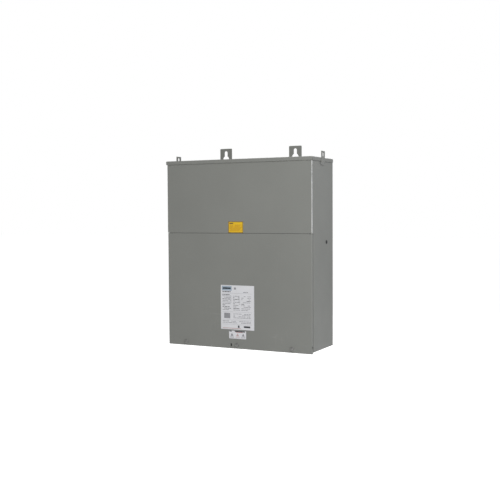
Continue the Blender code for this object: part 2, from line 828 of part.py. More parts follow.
def make_contacts(crank_pivot):
    top_lug = shaft_z + base_rise - lug_height - upper_lug_margin
    bottom_lug = shaft_z - base_drop + lower_lug_margin
    for pole, side in enumerate(("left", "right")):
        make_contact_arm(side, pole, crank_pivot)
        make_fixed_contact(f"utility_contact_{side}", pole, 1, top_lug, top_lug + lug_height)
        make_fixed_contact(f"generator_contact_{side}", pole, -1, bottom_lug, bottom_lug + lug_height)
        make_load_bus(side, pole, bottom_lug)
        make_lug(f"utility_lug_{side}", source_x(pole), top_lug)
        make_lug(f"generator_lug_{side}", source_x(pole), bottom_lug)
        make_lug(f"load_lug_{side}", load_x(pole), bottom_lug)
        make_arc_chute(side, pole)


# ---- operating mechanism --------------------------------------------------------------------------

def make_mechanism_frame():
    front = pin_y - coil_radius + frame_front_set
    wall_out = frame_wall_x + frame_sheet
    outline = [(wall_out, seat_y), (wall_out, front), (frame_wall_x, front),
               (frame_wall_x, seat_y - frame_sheet), (wall_out - frame_back_width, seat_y - frame_sheet),
               (wall_out - frame_back_width, seat_y)]
    frame = prism("mechanism_frame", outline, "z", shaft_z - frame_half, shaft_z + frame_half, "zinc_steel")
    # two legs on each side of the shaft hold a coil between them
    leg_left = mechanism_x - coil_radius + leg_inset
    for side, sign in (("upper", 1), ("lower", -1)):
        outside = coil_from_shaft + coil_length + gap
        for place, distance in (("inner", coil_from_shaft - gap - yoke_sheet), ("outer", outside)):
            ends = sorted((shaft_z + sign * distance, shaft_z + sign * (distance + yoke_sheet)))
            leg = block(f"{side}_{place}_leg", (leg_left, pin_y - leg_half, ends[0]),
                        (frame_wall_x + frame_sheet / 2, pin_y + leg_half, ends[1]))
            unite(frame, leg)
        cut(frame, rod(f"{side}_leg_bore", bore_radius, coil_length + 12 * yoke_sheet, "z",
                       (mechanism_x, pin_y, shaft_z + sign * (coil_from_shaft + coil_length / 2))))
    seat = shaft_radius + running_clear + bushing_wall + gap
    cut(frame, rod("bushing_seat", seat, 4 * frame_sheet, "x", (wall_out, shaft_y, shaft_z)))
    inner = shaft_radius + running_clear
    outer = inner + bushing_wall
    middle = frame_wall_x + frame_sheet / 2
    tube("shaft_bushing", inner, outer, bushing_length, "x", (middle, shaft_y, shaft_z), "brass")


def make_crank(crank_pivot):
    hub = tube("crank", shaft_radius + gap, crank_hub_radius, crank_hub_length, "x",
               (mechanism_x, shaft_y, shaft_z), "steel", crank_pivot)
    start = (shaft_radius + gap + crank_hub_radius) / 2
    half = crank_web / 2
    unite(hub, block("crank_arm", (mechanism_x - half, pin_y - crank_arm_land, shaft_z - crank_arm_half),
                     (mechanism_x + half, shaft_y - start, shaft_z + crank_arm_half)))
    unite(hub, rod("crank_pin", crank_pin_radius, crank_pin_length, "x",
                   (mechanism_x, pin_y, shaft_z), sides=16))


def make_coil(name, sign):
    middle = shaft_z + sign * (coil_from_shaft + coil_length / 2)
    wrap = coil_radius - coil_wrap_drop
    half = coil_length / 2
    end = coil_flange
    profile = [(bore_radius, -half), (coil_radius, -half), (coil_radius, end - half), (wrap, end - half),
               (wrap, half - end), (coil_radius, half - end), (coil_radius, half), (bore_radius, half)]
    turned(name, profile, "z", (mechanism_x, pin_y, middle), "coil_tape", sides=24)


def make_plunger(name, sign, slide):
    pin_z = shaft_z + pin_rise
    eye_y = shaft_y - crank_radius * math.cos(throw_half_angle)
    shoulder = pin_z + sign * plunger_shoulder
    stroke = 2 * pin_rise
    seated_end = shaft_z + sign * (coil_from_shaft + coil_length - plunger_seat)
    end = seated_end if sign > 0 else seated_end + stroke
    low, high = sorted((shoulder, end))
    plunger = rod(name, plunger_radius, high - low, "z",
                  (mechanism_x, pin_y, (low + high) / 2), "steel", slide)
    flange_z = shoulder + sign * shoulder_height / 2
    unite(plunger, rod(f"{name}_shoulder", plunger_radius + shoulder_overhang, shoulder_height, "z",
                       (mechanism_x, pin_y, flange_z)))
    eye_x = mechanism_x - sign * plunger_eye_offset
    slot_radius = crank_pin_radius + eye_clear
    half = slot_radius + eye_float + eye_land
    eye_low, eye_high = sorted((pin_z - sign * eye_end, shoulder + sign * shoulder_height / 2))
    eye = block(f"{name}_eye", (eye_x - plunger_eye_sheet / 2, eye_y - half, eye_low),
                (eye_x + plunger_eye_sheet / 2, eye_y + half, eye_high))
    unite(plunger, eye)
    slot = slot_outline((eye_y, pin_z), slot_radius, 2 * (slot_radius + eye_float), upright=False)
    reach = 2 * plunger_eye_sheet
    cut(plunger, prism(f"{name}_slot", slot, "x", eye_x - reach, eye_x + reach))


def make_plunger_spring(slide):
    top = shaft_z + pin_rise - plunger_shoulder - shoulder_height - gap - spring_wire
    bottom = shaft_z - coil_from_shaft + yoke_sheet + 2 * gap + spring_wire
    radius = plunger_radius + spring_wire + spring_clear
    steps = spring_turns * 10
    curve = bpy.data.curves.new("plunger_spring", "CURVE")
    curve.dimensions = "3D"
    curve.bevel_depth = spring_wire
    curve.bevel_resolution = 1
    curve.use_fill_caps = True
    spline = curve.splines.new("POLY")
    spline.points.add(steps)
    for i, point in enumerate(spline.points):
        turn = math.tau * spring_turns * i / steps
        point.co = (radius * math.cos(turn), radius * math.sin(turn), (top - bottom) * i / steps, 1)
    spring = bpy.data.objects.new("plunger_spring", curve)
    bpy.context.collection.objects.link(spring)
    curve.materials.append(finish("steel"))
    spring.parent = slide
    spring.location = Vector((mechanism_x, pin_y, bottom)) - slide.location


def make_handle(crank_pivot):
    start = frame_wall_x + frame_sheet + handle_stand
    stop = start + handle_sheet
    middle = (start + stop) / 2
    handle = tube("manual_handle", shaft_radius + gap, handle_hub_radius, handle_sheet, "x",
                  (middle, shaft_y, shaft_z), "zinc_steel", crank_pivot)
    half = handle_width / 2
    root = (shaft_radius + gap + handle_hub_radius) / 2
    arm_left, arm_right = start + handle_arm_thin, stop - handle_arm_thin
    unite(handle, block("handle_arm", (arm_left, shaft_y - handle_length, shaft_z - half),
                        (arm_right, shaft_y - root, shaft_z + half)))
    grip_end = shaft_y - handle_length - grip_wall
    outside = half + grip_wall
    grip = block("handle_grip", (start - grip_wall, grip_end, shaft_z - outside),
                 (stop + grip_wall, grip_end + grip_length, shaft_z + outside), "red_plastic", crank_pivot)
    cut(grip, block("grip_pocket", (arm_left - gap, shaft_y - handle_length - gap, shaft_z - half - gap),
                    (arm_right + gap, shaft_y, shaft_z + half + gap)))


# ---- control board --------------------------------------------------------------------------------

def make_control_board():
    tray = block("board_tray", (board_left, seat_y - tray_sheet, board_bottom),
                 (board_right, seat_y, board_top), "black_plastic")
    post_length = board_stand + tray_sheet / 2 - gap
    for i, x in enumerate((board_left + tray_post_inset, board_right - tray_post_inset)):
        for j, z in enumerate((board_bottom + tray_post_inset, board_top - tray_post_inset)):
            unite(tray, rod(f"tray_post_{i}{j}", tray_post_radius, post_length, "y",
                            (x, seat_y - tray_sheet / 2 - post_length / 2, z), sides=12))
    block("control_board", (board_left, board_front_y, board_bottom),
          (board_right, board_back_y, board_top), "board_green")
    wide, deep, tall = transformer_size
    left = board_left + transformer_margin[0]
    low = board_top - transformer_margin[1] - tall
    block("transformer", (left, board_seat_y - deep, low),
          (left + wide, board_seat_y, low + tall), "arc_plate")
    make_terminal_strip()
    make_switches()


def make_terminal_strip():
    wide, deep, tall = terminal_size
    left = (board_left + board_right) / 2 - wide / 2
    low = board_bottom + terminal_rise
    strip = block("terminal_strip", (left, board_seat_y - deep, low), (left + wide, board_seat_y, low + tall),
                  "terminal_green")
    pitch = wide / terminal_ways
    for i in range(terminal_ways):
        x = left + (i + 0.5) * pitch
        half = pitch * way_half_width
        cut(strip, block(f"terminal_way_{i + 1}", (x - half, board_seat_y - 2 * deep, low + tall * way_low),
                         (x + half, board_seat_y - deep * way_floor, low + tall * way_high)))


def switch_places():
    wide, deep, tall = switch_block_size
    left = board_right - switch_margin[0] - wide
    low = board_bottom + switch_margin[1]
    return left, low, left + wide * button_place, left + wide * toggle_place, low + tall / 2


def make_switches():
    wide, deep, tall = switch_block_size
    left, low, button_x, toggle_x, middle_z = switch_places()
    face = board_seat_y - deep
    body = block("switch_block", (left, face, low), (left + wide, board_seat_y, low + tall), "black_plastic")
    cut(body, rod("button_bore", button_radius + running_clear, 2 * button_pocket, "y",
                  (button_x, face, middle_z), sides=16))
    lever_wide, lever_long, lever_thick = toggle_lever
    axle_y = face + toggle_axle_set
    half = lever_wide / 2 + running_clear
    swing = (lever_thick / 2 + running_clear + toggle_axle_set * math.tan(toggle_half_angle)
             + toggle_well_clear)
    cut(body, block("toggle_well", (toggle_x - half, face - deep, middle_z - swing),
                    (toggle_x + half, face + toggle_well_depth, middle_z + swing)))
    button_slide = pivot("button_slide", (button_x, face, middle_z))
    end = face + button_pocket - button_travel - running_clear
    rod("test_button", button_radius, end - (face - button_rise), "y",
        (button_x, (end + face - button_rise) / 2, middle_z), "red_plastic", button_slide, sides=16)
    toggle_pivot = pivot("toggle_pivot", (toggle_x, axle_y, middle_z), -toggle_half_angle)
    block("mode_toggle", (toggle_x - lever_wide / 2, axle_y - lever_long, middle_z - lever_thick / 2),
          (toggle_x + lever_wide / 2, axle_y + toggle_tail, middle_z + lever_thick / 2),
          "white_plastic", toggle_pivot)


# ---- fuse block -----------------------------------------------------------------------------------

def make_fuse_block():
    left = fuse_side_margin - plate_half
    right = left + fuse_ways * fuse_way_width + (fuse_ways + 1) * fuse_wall
    high = plate_top - fuse_top_margin
    low = high - fuse_block_height
    floor = seat_y - fuse_floor
    base = block("fuse_base", (left, floor, low), (right, seat_y, high), "moulding")
    pivot_y = floor - carrier_clear - carrier_radius
    pivot_z = low + carrier_rise + carrier_radius
    for i in range(fuse_ways + 1):
        x = left + i * (fuse_way_width + fuse_wall)
        unite(base, block(f"fuse_wall_{i + 1}", (x, seat_y - fuse_block_depth, low + fuse_wall_trim),
                          (x + fuse_wall, (seat_y + floor) / 2, high - fuse_wall_trim)))
    cut(base, rod("fuse_pivot_bore", pivot_radius + running_clear, 2 * (right - left), "x",
                  ((left + right) / 2, pivot_y, pivot_z), sides=12))
    for i in range(fuse_ways):
        way_left = left + fuse_wall + i * (fuse_way_width + fuse_wall)
        make_fuse_carrier(i + 1, way_left, floor, high, (pivot_y, pivot_z))


def make_fuse_carrier(number, way_left, floor, high, centre):
    middle_x = way_left + fuse_way_width / 2
    hinge = pivot(f"carrier_pivot_{number}", (middle_x, centre[0], centre[1]))
    back = floor - carrier_clear
    top = high - carrier_top_drop
    front = floor - carrier_reach
    # seen from the side: round below, a finger nose at the top of the front face
    outline = arc(centre, carrier_radius, 0, -180, 8)
    outline += [(front + nose_depth, centre[1] + nose_root), (front + nose_depth, top - nose_under),
                (front, top - nose_low), (front, top - nose_high), (front + nose_slope, top), (back, top)]
    half = fuse_way_width / 2 - carrier_clear
    carrier = prism(f"fuse_carrier_{number}", outline, "x", middle_x - half, middle_x + half,
                    "grey_plastic", hinge)
    reach = fuse_way_width + 2 * fuse_wall * carrier_pin_bite
    unite(carrier, rod(f"carrier_pin_{number}", pivot_radius, reach, "x", (middle_x, *centre), sides=12))


# ---- build ----------------------------------------------------------------------------------------

def build():
    for old in list(bpy.data.objects):
        bpy.data.objects.remove(old, do_unlink=True)

    cover_hinge = pivot("cover_hinge", (0, front_y, seam_z - seam_gap / 2))
    make_back_panel()
    make_side_wall("left", -1)
    make_side_wall("right", 1)
    make_side_plug()
    make_bottom_pan()
    make_top_cap()
    make_upper_cover()
    make_lower_cover(cover_hinge)
    make_cross_rail()
    make_lifting_ear("left", -1)
    make_lifting_ear("right", 1)
    make_labels(cover_hinge)

    make_backplate()
    make_terminal_bars()

    # everything on the shaft is modelled level, then thrown up to the utility side by its empty
    crank_pivot = pivot("crank_pivot", (0, shaft_y, shaft_z), -throw_half_angle)
    make_contactor_base()
    make_shaft(crank_pivot)
    make_contacts(crank_pivot)
    make_mechanism_frame()
    make_crank(crank_pivot)
    make_handle(crank_pivot)
    make_coil("utility_coil", 1)
    make_coil("generator_coil", -1)
    utility_slide = pivot("utility_slide", (mechanism_x, pin_y, shaft_z))
    generator_slide = pivot("generator_slide", (mechanism_x, pin_y, shaft_z))
    make_plunger("utility_plunger", 1, utility_slide)
    make_plunger("generator_plunger", -1, generator_slide)
    make_plunger_spring(generator_slide)

    make_control_board()
    make_fuse_block()


build()
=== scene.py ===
import math
import random

import bmesh
import bpy
from mathutils import Matrix, Vector


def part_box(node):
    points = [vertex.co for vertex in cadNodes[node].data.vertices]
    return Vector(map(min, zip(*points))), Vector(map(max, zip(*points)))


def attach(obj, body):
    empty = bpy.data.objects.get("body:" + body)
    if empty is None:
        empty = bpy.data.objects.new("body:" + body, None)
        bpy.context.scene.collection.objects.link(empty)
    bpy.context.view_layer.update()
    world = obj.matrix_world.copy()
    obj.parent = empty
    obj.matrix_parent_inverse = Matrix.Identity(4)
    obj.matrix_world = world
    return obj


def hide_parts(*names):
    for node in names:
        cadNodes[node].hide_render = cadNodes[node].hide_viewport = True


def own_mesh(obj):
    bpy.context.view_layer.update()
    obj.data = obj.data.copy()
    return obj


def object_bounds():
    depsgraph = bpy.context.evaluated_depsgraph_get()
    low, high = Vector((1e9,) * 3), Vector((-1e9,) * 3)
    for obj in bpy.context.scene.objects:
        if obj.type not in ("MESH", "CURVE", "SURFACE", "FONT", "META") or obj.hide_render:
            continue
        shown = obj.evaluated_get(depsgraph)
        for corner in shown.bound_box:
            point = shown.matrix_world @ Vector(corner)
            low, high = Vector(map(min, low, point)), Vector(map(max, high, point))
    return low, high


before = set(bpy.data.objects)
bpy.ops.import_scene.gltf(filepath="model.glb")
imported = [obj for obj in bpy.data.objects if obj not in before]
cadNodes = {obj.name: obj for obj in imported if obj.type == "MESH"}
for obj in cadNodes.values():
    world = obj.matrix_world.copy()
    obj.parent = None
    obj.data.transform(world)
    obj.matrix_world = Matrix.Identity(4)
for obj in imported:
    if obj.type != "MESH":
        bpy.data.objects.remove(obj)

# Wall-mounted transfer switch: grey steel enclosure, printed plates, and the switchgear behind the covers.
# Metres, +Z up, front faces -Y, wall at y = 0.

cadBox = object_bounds()
random.seed(7)
print("frame loaded:", len(cadNodes), "nodes")


# node helpers

def addNode(tree, kind, inputs=None, **settings):
    node = tree.nodes.new(kind)
    for label, value in settings.items():
        setattr(node, label, value)
    for socket, value in (inputs or {}).items():
        if isinstance(value, bpy.types.NodeSocket):
            tree.links.new(value, node.inputs[socket])
        else:
            node.inputs[socket].default_value = value
    return node


def calc(tree, operation, first, second=0.0):
    return addNode(tree, "ShaderNodeMath", {0: first, 1: second}, operation=operation).outputs[0]


def product(tree, *factors):
    total = factors[0]
    for factor in factors[1:]:
        total = calc(tree, "MULTIPLY", total, factor)
    return total


def ramp(tree, value, low, high, outLow=0.0, outHigh=1.0):
    limits = {"Value": value, "From Min": low, "From Max": high, "To Min": outLow, "To Max": outHigh}
    return addNode(tree, "ShaderNodeMapRange", limits).outputs[0]


def mixColours(tree, amount, first, second, blend="MIX"):
    node = addNode(tree, "ShaderNodeMix", {0: amount, 6: first, 7: second}, data_type="RGBA",
                   blend_type=blend)
    return node.outputs[2]


def objectPoint(tree, stretch=(1.0, 1.0, 1.0)):
    place = addNode(tree, "ShaderNodeTexCoord").outputs["Object"]
    return addNode(tree, "ShaderNodeVectorMath", {0: place, 1: stretch}, operation="MULTIPLY").outputs[0]


def noise(tree, point, scale, detail=3.0, seed=0.0):
    return addNode(tree, "ShaderNodeTexNoise", {"Vector": point, "W": seed, "Scale": scale, "Detail": detail},
                   noise_dimensions="4D").outputs[0]


def opaque(colour):
    return (*colour, 1.0)


# shared effects, each a node group

socketKinds = {"Colour": "NodeSocketColor", "Stretch": "NodeSocketVector"}


def startGroup(name, outputs, **inputs):
    tree = bpy.data.node_groups.new(name, "ShaderNodeTree")
    for label, value in inputs.items():
        kind = socketKinds.get(label, "NodeSocketFloat")
        tree.interface.new_socket(name=label, in_out="INPUT", socket_type=kind).default_value = value
    for label in outputs:
        kind = socketKinds.get(label, "NodeSocketFloat")
        tree.interface.new_socket(name=label, in_out="OUTPUT", socket_type=kind)
    start = tree.nodes.new("NodeGroupInput")
    end = tree.nodes.new("NodeGroupOutput")
    return tree, start.outputs, end.inputs


def useGroup(tree, group, **values):
    return addNode(tree, "ShaderNodeGroup", values, node_tree=group).outputs


def makeToneDrift():
    tree, start, end = startGroup("tone drift", ["Colour"], Colour=(0.5, 0.5, 0.5, 1.0), Shift=0.05,
                                  Patches=12.0,
                                  Seed=0.0)
    broad = noise(tree, objectPoint(tree), start["Patches"], 4.0, start["Seed"])
    level = ramp(tree, broad, 0.3, 0.7, -1.0, 1.0)
    bright = calc(tree, "MULTIPLY_ADD", level, start["Shift"])
    bright.node.inputs[2].default_value = 1.0
    shifted = addNode(tree, "ShaderNodeHueSaturation", {"Value": bright, "Color": start["Colour"]})
    tree.links.new(shifted.outputs[0], end["Colour"])
    return tree


def makeEdgeWear():
    tree, start, end = startGroup("edge wear", ["Mask"], Reach=0.001, Ragged=300.0, Amount=0.5)
    rounded = addNode(tree, "ShaderNodeBevel", {"Radius": start["Reach"]}, samples=4)
    flat = addNode(tree, "ShaderNodeNewGeometry")
    match = addNode(tree, "ShaderNodeVectorMath", {0: rounded.outputs[0], 1: flat.outputs["Normal"]},
                    operation="DOT_PRODUCT").outputs["Value"]
    edge = ramp(tree, match, 0.99, 0.85)
    broken = ramp(tree, noise(tree, objectPoint(tree), start["Ragged"], 5.0), 0.48, 0.66)
    tree.links.new(product(tree, edge, broken, start["Amount"]), end["Mask"])
    return tree


def makeFoldHighlight():
    # painted highlight: where an upright fold turns the surface from the front to the side, the colour is
    # painted pale to stand in for light on the bend
    tree, start, end = startGroup("fold rub", ["Mask"], Amount=0.0, Patches=38.0)
    facing = addNode(tree, "ShaderNodeNewGeometry").outputs["Normal"]
    turned = addNode(tree, "ShaderNodeSeparateXYZ", {0: facing}).outputs
    corner = ramp(tree, calc(tree, "ABSOLUTE", product(tree, turned[0], turned[1])), 0.15, 0.40)
    patches = ramp(tree, noise(tree, objectPoint(tree), start["Patches"], 4.0), 0.36, 0.54, 0.55, 1.0)
    tree.links.new(product(tree, corner, patches, start["Amount"]), end["Mask"])
    return tree


def makeSettledDust():
    tree, start, end = startGroup("settled dust", ["Mask"], Amount=0.3, Patches=60.0)
    facing = addNode(tree, "ShaderNodeNewGeometry").outputs["Normal"]
    upward = addNode(tree, "ShaderNodeSeparateXYZ", {0: facing}).outputs[2]
    level = ramp(tree, upward, 0.25, 1.0)
    cloud = ramp(tree, noise(tree, objectPoint(tree), start["Patches"], 6.0), 0.35, 0.75)
    tree.links.new(product(tree, level, cloud, start["Amount"]), end["Mask"])
    return tree


def makePowderSkin():
    tree, start, end = startGroup("powder skin", ["Height", "Flecks"], Pebble=700.0, Fleck=2600.0)
    point = objectPoint(tree)
    tree.links.new(noise(tree, point, start["Pebble"], 2.0), end["Height"])
    tree.links.new(ramp(tree, noise(tree, point, start["Fleck"], 1.0, 4.0), 0.55, 0.8), end["Flecks"])
    return tree


def makeMouldGrain():
    tree, start, end = startGroup("mould grain", ["Height", "Flecks"], Fineness=1500.0)
    point = objectPoint(tree)
    cells = addNode(tree, "ShaderNodeTexVoronoi", {"Vector": point, "Scale": start["Fineness"]})
    tree.links.new(cells.outputs["Distance"], end["Height"])
    tree.links.new(ramp(tree, noise(tree, point, start["Fineness"], 2.0, 9.0), 0.6, 0.72), end["Flecks"])
    return tree


def makeDrawnLines():
    tree, start, end = startGroup("drawn lines", ["Lines"], Stretch=(1.0, 1.0, 0.02), Scale=900.0)
    tree.links.new(noise(tree, objectPoint(tree, start["Stretch"]), start["Scale"], 4.0), end["Lines"])
    return tree


def makeZincBloom():
    tree, start, end = startGroup("zinc bloom", ["Tone", "Haze"], Facets=220.0)
    point = objectPoint(tree)
    cells = addNode(tree, "ShaderNodeTexVoronoi", {"Vector": point, "Scale": start["Facets"]})
    split = addNode(tree, "ShaderNodeSeparateColor", {0: cells.outputs["Color"]})
    tree.links.new(split.outputs[0], end["Tone"])
    tree.links.new(noise(tree, point, 28.0, 5.0), end["Haze"])
    return tree


def makeFineScuffs():
    tree, start, end = startGroup("fine scuffs", ["Mask"], Scale=60.0, Amount=0.4)
    total = None
    for seed, stretch in enumerate(((1.0, 1.0, 0.06), (0.07, 1.0, 1.0), (0.5, 0.5, 0.12))):
        lines = noise(tree, objectPoint(tree, stretch), start["Scale"], 6.0, seed * 3.1)
        thin = calc(tree, "SUBTRACT", 1.0,
                    ramp(tree, calc(tree, "ABSOLUTE", calc(tree, "SUBTRACT", lines, 0.5)),
                                                0.0, 0.006))
        total = thin if total is None else calc(tree, "MAXIMUM", total, thin)
    patches = ramp(tree, noise(tree, objectPoint(tree), 9.0, 2.0, 21.0), 0.56, 0.72)
    tree.links.new(product(tree, total, patches, start["Amount"]), end["Mask"])
    return tree


toneDrift = makeToneDrift()
edgeWear = makeEdgeWear()
foldRub = makeFoldHighlight()
settledDust = makeSettledDust()
powderSkin = makePowderSkin()
mouldGrain = makeMouldGrain()
drawnLines = makeDrawnLines()
zincBloom = makeZincBloom()
fineScuffs = makeFineScuffs()
dustColour = (0.42, 0.40, 0.36, 1.0)


def startFinish(name):
    material = bpy.data.materials.new(name)
    material.use_nodes = True
    tree = material.node_tree
    shader = tree.nodes["Principled BSDF"]
    return material, tree, shader


def startToned(name, colour, shift, patches, seed=0.0):
    # a finish whose colour drifts a little from patch to patch
    material, tree, shader = startFinish(name)
    drift = useGroup(tree, toneDrift, Colour=opaque(colour), Shift=shift, Patches=patches, Seed=seed)[0]
    return material, tree, shader, drift


def joinUp(tree, shader, **sources):
    for label, source in sources.items():
        tree.links.new(source, shader.inputs[label.replace("_", " ")])


def bump(tree, height, strength, distance):
    return addNode(tree, "ShaderNodeBump",
                   {"Height": height, "Strength": strength, "Distance": distance}).outputs[0]


# powder coat on folded steel
paintLook = {
    "colour": (0.247, 0.251, 0.230),
    "primer": (0.33, 0.33, 0.31),
    # pale colour and strength of the painted highlight on upright folds
    "rubbed": (0.74, 0.74, 0.72),
    "foldRub": 0.0,
    "roughness": 0.40,
    "peelDepth": 0.00010,
}
# the upper cover's upright folds get a painted highlight
highlightedLook = {**paintLook, "foldRub": 0.9}


def makePaint(name, look, seed):
    material, tree, shader, drift = startToned(name, look["colour"], 0.035, 5.0, seed)
    skin = useGroup(tree, powderSkin)
    flecked = mixColours(tree, product(tree, skin["Flecks"], 0.10), drift, (0.32, 0.32, 0.30, 1.0))
    scuffs = useGroup(tree, fineScuffs, Scale=34.0, Amount=0.22)["Mask"]
    scuffed = mixColours(tree, scuffs, flecked, (0.36, 0.36, 0.345, 1.0))
    dust = useGroup(tree, settledDust, Amount=0.30)["Mask"]
    dusted = mixColours(tree, dust, scuffed, dustColour)
    wear = useGroup(tree, edgeWear, Reach=0.0012, Amount=0.55)["Mask"]
    worn = mixColours(tree, wear, dusted, opaque(look["primer"]))
    # painted highlight: upright folds turned pale, standing in for light caught on the bend
    fold = useGroup(tree, foldRub, Amount=look["foldRub"])["Mask"]
    colour = mixColours(tree, fold, worn, opaque(look["rubbed"]))
    smears = ramp(tree, noise(tree, objectPoint(tree), 14.0, 4.0, 2.0), 0.3, 0.7,
                  look["roughness"] - 0.05, look["roughness"] + 0.08)
    roughness = calc(tree, "ADD", smears, product(tree, dust, 0.4))
    joinUp(tree, shader, Base_Color=colour, Roughness=roughness,
           Normal=bump(tree, skin["Height"], 0.55, look["peelDepth"]))
    shader.inputs["Specular IOR Level"].default_value = 0.42
    return material


# bare and plated metals: colour, its darker tarnish, roughness, stretch of the drawing lines
metalLooks = {
    "steel": ((0.50, 0.50, 0.50), (0.30, 0.29, 0.27), 0.30, (1.0, 1.0, 0.03)),
    "copper": ((0.78, 0.40, 0.26), (0.42, 0.20, 0.12), 0.27, (1.0, 1.0, 0.02)),
    "aluminium": ((0.78, 0.79, 0.80), (0.55, 0.56, 0.57), 0.36, (1.0, 1.0, 0.02)),
    "brass": ((0.72, 0.55, 0.26), (0.45, 0.33, 0.14), 0.28, (0.03, 1.0, 1.0)),
    "silver": ((0.82, 0.81, 0.78), (0.42, 0.40, 0.36), 0.25, (1.0, 0.04, 1.0)),
    "solder": ((0.74, 0.74, 0.72), (0.50, 0.50, 0.48), 0.22, (1.0, 1.0, 1.0)),
    "dull_steel": ((0.36, 0.36, 0.345), (0.22, 0.215, 0.20), 0.50, (1.0, 1.0, 1.0)),
}


def makeMetal(name, look, seed):
    shine, tarnish, rough, stretch = look
    material, tree, shader, drift = startToned(name, shine, 0.06, 40.0, seed)
    patches = ramp(tree, noise(tree, objectPoint(tree), 75.0, 6.0, seed), 0.48, 0.75)
    wear = useGroup(tree, edgeWear, Reach=0.0006, Ragged=500.0, Amount=0.8)["Mask"]
    dulled = mixColours(tree, product(tree, patches, 0.55), drift, opaque(tarnish))
    colour = mixColours(tree, wear, dulled, opaque(shine))
    lines = useGroup(tree, drawnLines, Stretch=stretch, Scale=1400.0)["Lines"]
    roughness = ramp(tree, lines, 0.25, 0.75, rough - 0.07, rough + 0.12)
    joinUp(tree, shader, Base_Color=colour, Normal=bump(tree, lines, 0.25, 0.00005),
           Roughness=calc(tree, "ADD", roughness, product(tree, patches, 0.12)))
    shader.inputs["Metallic"].default_value = 1.0
    return material


def makeZinc(name, colour, seed):
    material, tree, shader, drift = startToned(name, colour, 0.08, 18.0, seed)
    bloom = useGroup(tree, zincBloom)
    shade = ramp(tree, bloom["Tone"], 0.0, 1.0, 0.84, 1.08)
    faceted = addNode(tree, "ShaderNodeHueSaturation", {"Value": shade, "Color": drift}).outputs[0]
    hazed = mixColours(tree, ramp(tree, bloom["Haze"], 0.5, 0.8, 0.0, 0.5), faceted, (0.46, 0.47, 0.46, 1.0))
    scuffs = useGroup(tree, fineScuffs, Scale=80.0, Amount=0.5)["Mask"]
    bright = mixColours(tree, scuffs, hazed, (0.80, 0.80, 0.78, 1.0))
    rough = calc(tree, "ADD", ramp(tree, bloom["Tone"], 0.0, 1.0, 0.30, 0.44),
                 ramp(tree, bloom["Haze"], 0.5, 0.8, 0.0, 0.15))
    joinUp(tree, shader, Base_Color=bright, Roughness=rough, Normal=bump(tree, bloom["Tone"], 0.08, 0.00004))
    shader.inputs["Metallic"].default_value = 1.0
    return material


# moulded and printed plastics: colour, fleck colour, roughness, grain depth
plasticLooks = {
    "moulding": ((0.030, 0.030, 0.033), (0.10, 0.09, 0.08), 0.46, 0.00005),
    "red_plastic": ((0.50, 0.028, 0.018), (0.62, 0.10, 0.07), 0.38, 0.00003),
    "terminal_green": ((0.045, 0.27, 0.11), (0.09, 0.36, 0.18), 0.40, 0.00003),
    "black_plastic": ((0.022, 0.022, 0.024), (0.06, 0.06, 0.06), 0.42, 0.00004),
    "grey_plastic": ((0.26, 0.27, 0.28), (0.34, 0.35, 0.36), 0.44, 0.00004),
    "white_plastic": ((0.72, 0.71, 0.67), (0.78, 0.77, 0.74), 0.38, 0.00003),
    "cream_nylon": ((0.66, 0.61, 0.48), (0.72, 0.68, 0.57), 0.40, 0.00003),
    "blue_nylon": ((0.025, 0.10, 0.32), (0.06, 0.16, 0.40), 0.36, 0.00003),
    "wire_white": ((0.68, 0.67, 0.63), (0.74, 0.73, 0.70), 0.38, 0.00002),
    "red_fibre": ((0.36, 0.075, 0.045), (0.24, 0.05, 0.03), 0.62, 0.00006),
    "wire_black": ((0.020, 0.020, 0.022), (0.05, 0.05, 0.05), 0.40, 0.00002),
    "wire_red": ((0.42, 0.020, 0.015), (0.52, 0.07, 0.05), 0.38, 0.00002),
    "wire_blue": ((0.020, 0.055, 0.30), (0.05, 0.10, 0.38), 0.38, 0.00002),
}


def makePlastic(name, look, seed):
    base, fleck, rough, grainDepth = look
    material, tree, shader, drift = startToned(name, base, 0.07, 30.0, seed)
    grain = useGroup(tree, mouldGrain)
    flecked = mixColours(tree, product(tree, grain["Flecks"], 0.35), drift, opaque(fleck))
    dust = useGroup(tree, settledDust, Amount=0.35, Patches=110.0)["Mask"]
    dusted = mixColours(tree, dust, flecked, dustColour)
    wear = useGroup(tree, edgeWear, Reach=0.0005, Ragged=700.0, Amount=0.4)["Mask"]
    colour = mixColours(tree, wear, dusted, opaque(fleck))
    smears = ramp(tree, noise(tree, objectPoint(tree), 55.0, 4.0, seed), 0.3, 0.7, rough - 0.05, rough + 0.08)
    joinUp(tree, shader, Base_Color=colour, Roughness=calc(tree, "ADD", smears, product(tree, dust, 0.3)),
           Normal=bump(tree, grain["Height"], 0.4, grainDepth))
    return material


# printed vinyl: paper colour, roughness
vinylLooks = {
    "white_vinyl": ((0.77, 0.77, 0.785), 0.36),
    "yellow_vinyl": ((0.84, 0.53, 0.012), 0.36),
}


def makeVinyl(name, look, seed):
    base, rough = look
    material, tree, shader, drift = startToned(name, base, 0.03, 22.0, seed)
    scuffs = useGroup(tree, fineScuffs, Scale=90.0, Amount=0.3)["Mask"]
    scuffed = mixColours(tree, scuffs, drift, (0.45, 0.44, 0.42, 1.0))
    wear = useGroup(tree, edgeWear, Reach=0.0006, Ragged=900.0, Amount=0.35)["Mask"]
    colour = mixColours(tree, wear, scuffed, (0.40, 0.39, 0.37, 1.0))
    ripple = noise(tree, objectPoint(tree), 90.0, 3.0, seed)
    joinUp(tree, shader, Base_Color=colour,
           Roughness=ramp(tree, ripple, 0.3, 0.7, rough - 0.05, rough + 0.06),
           Normal=bump(tree, ripple, 0.10, 0.0002))
    shader.inputs["Coat Weight"].default_value = 0.15
    shader.inputs["Coat Roughness"].default_value = 0.25
    return material


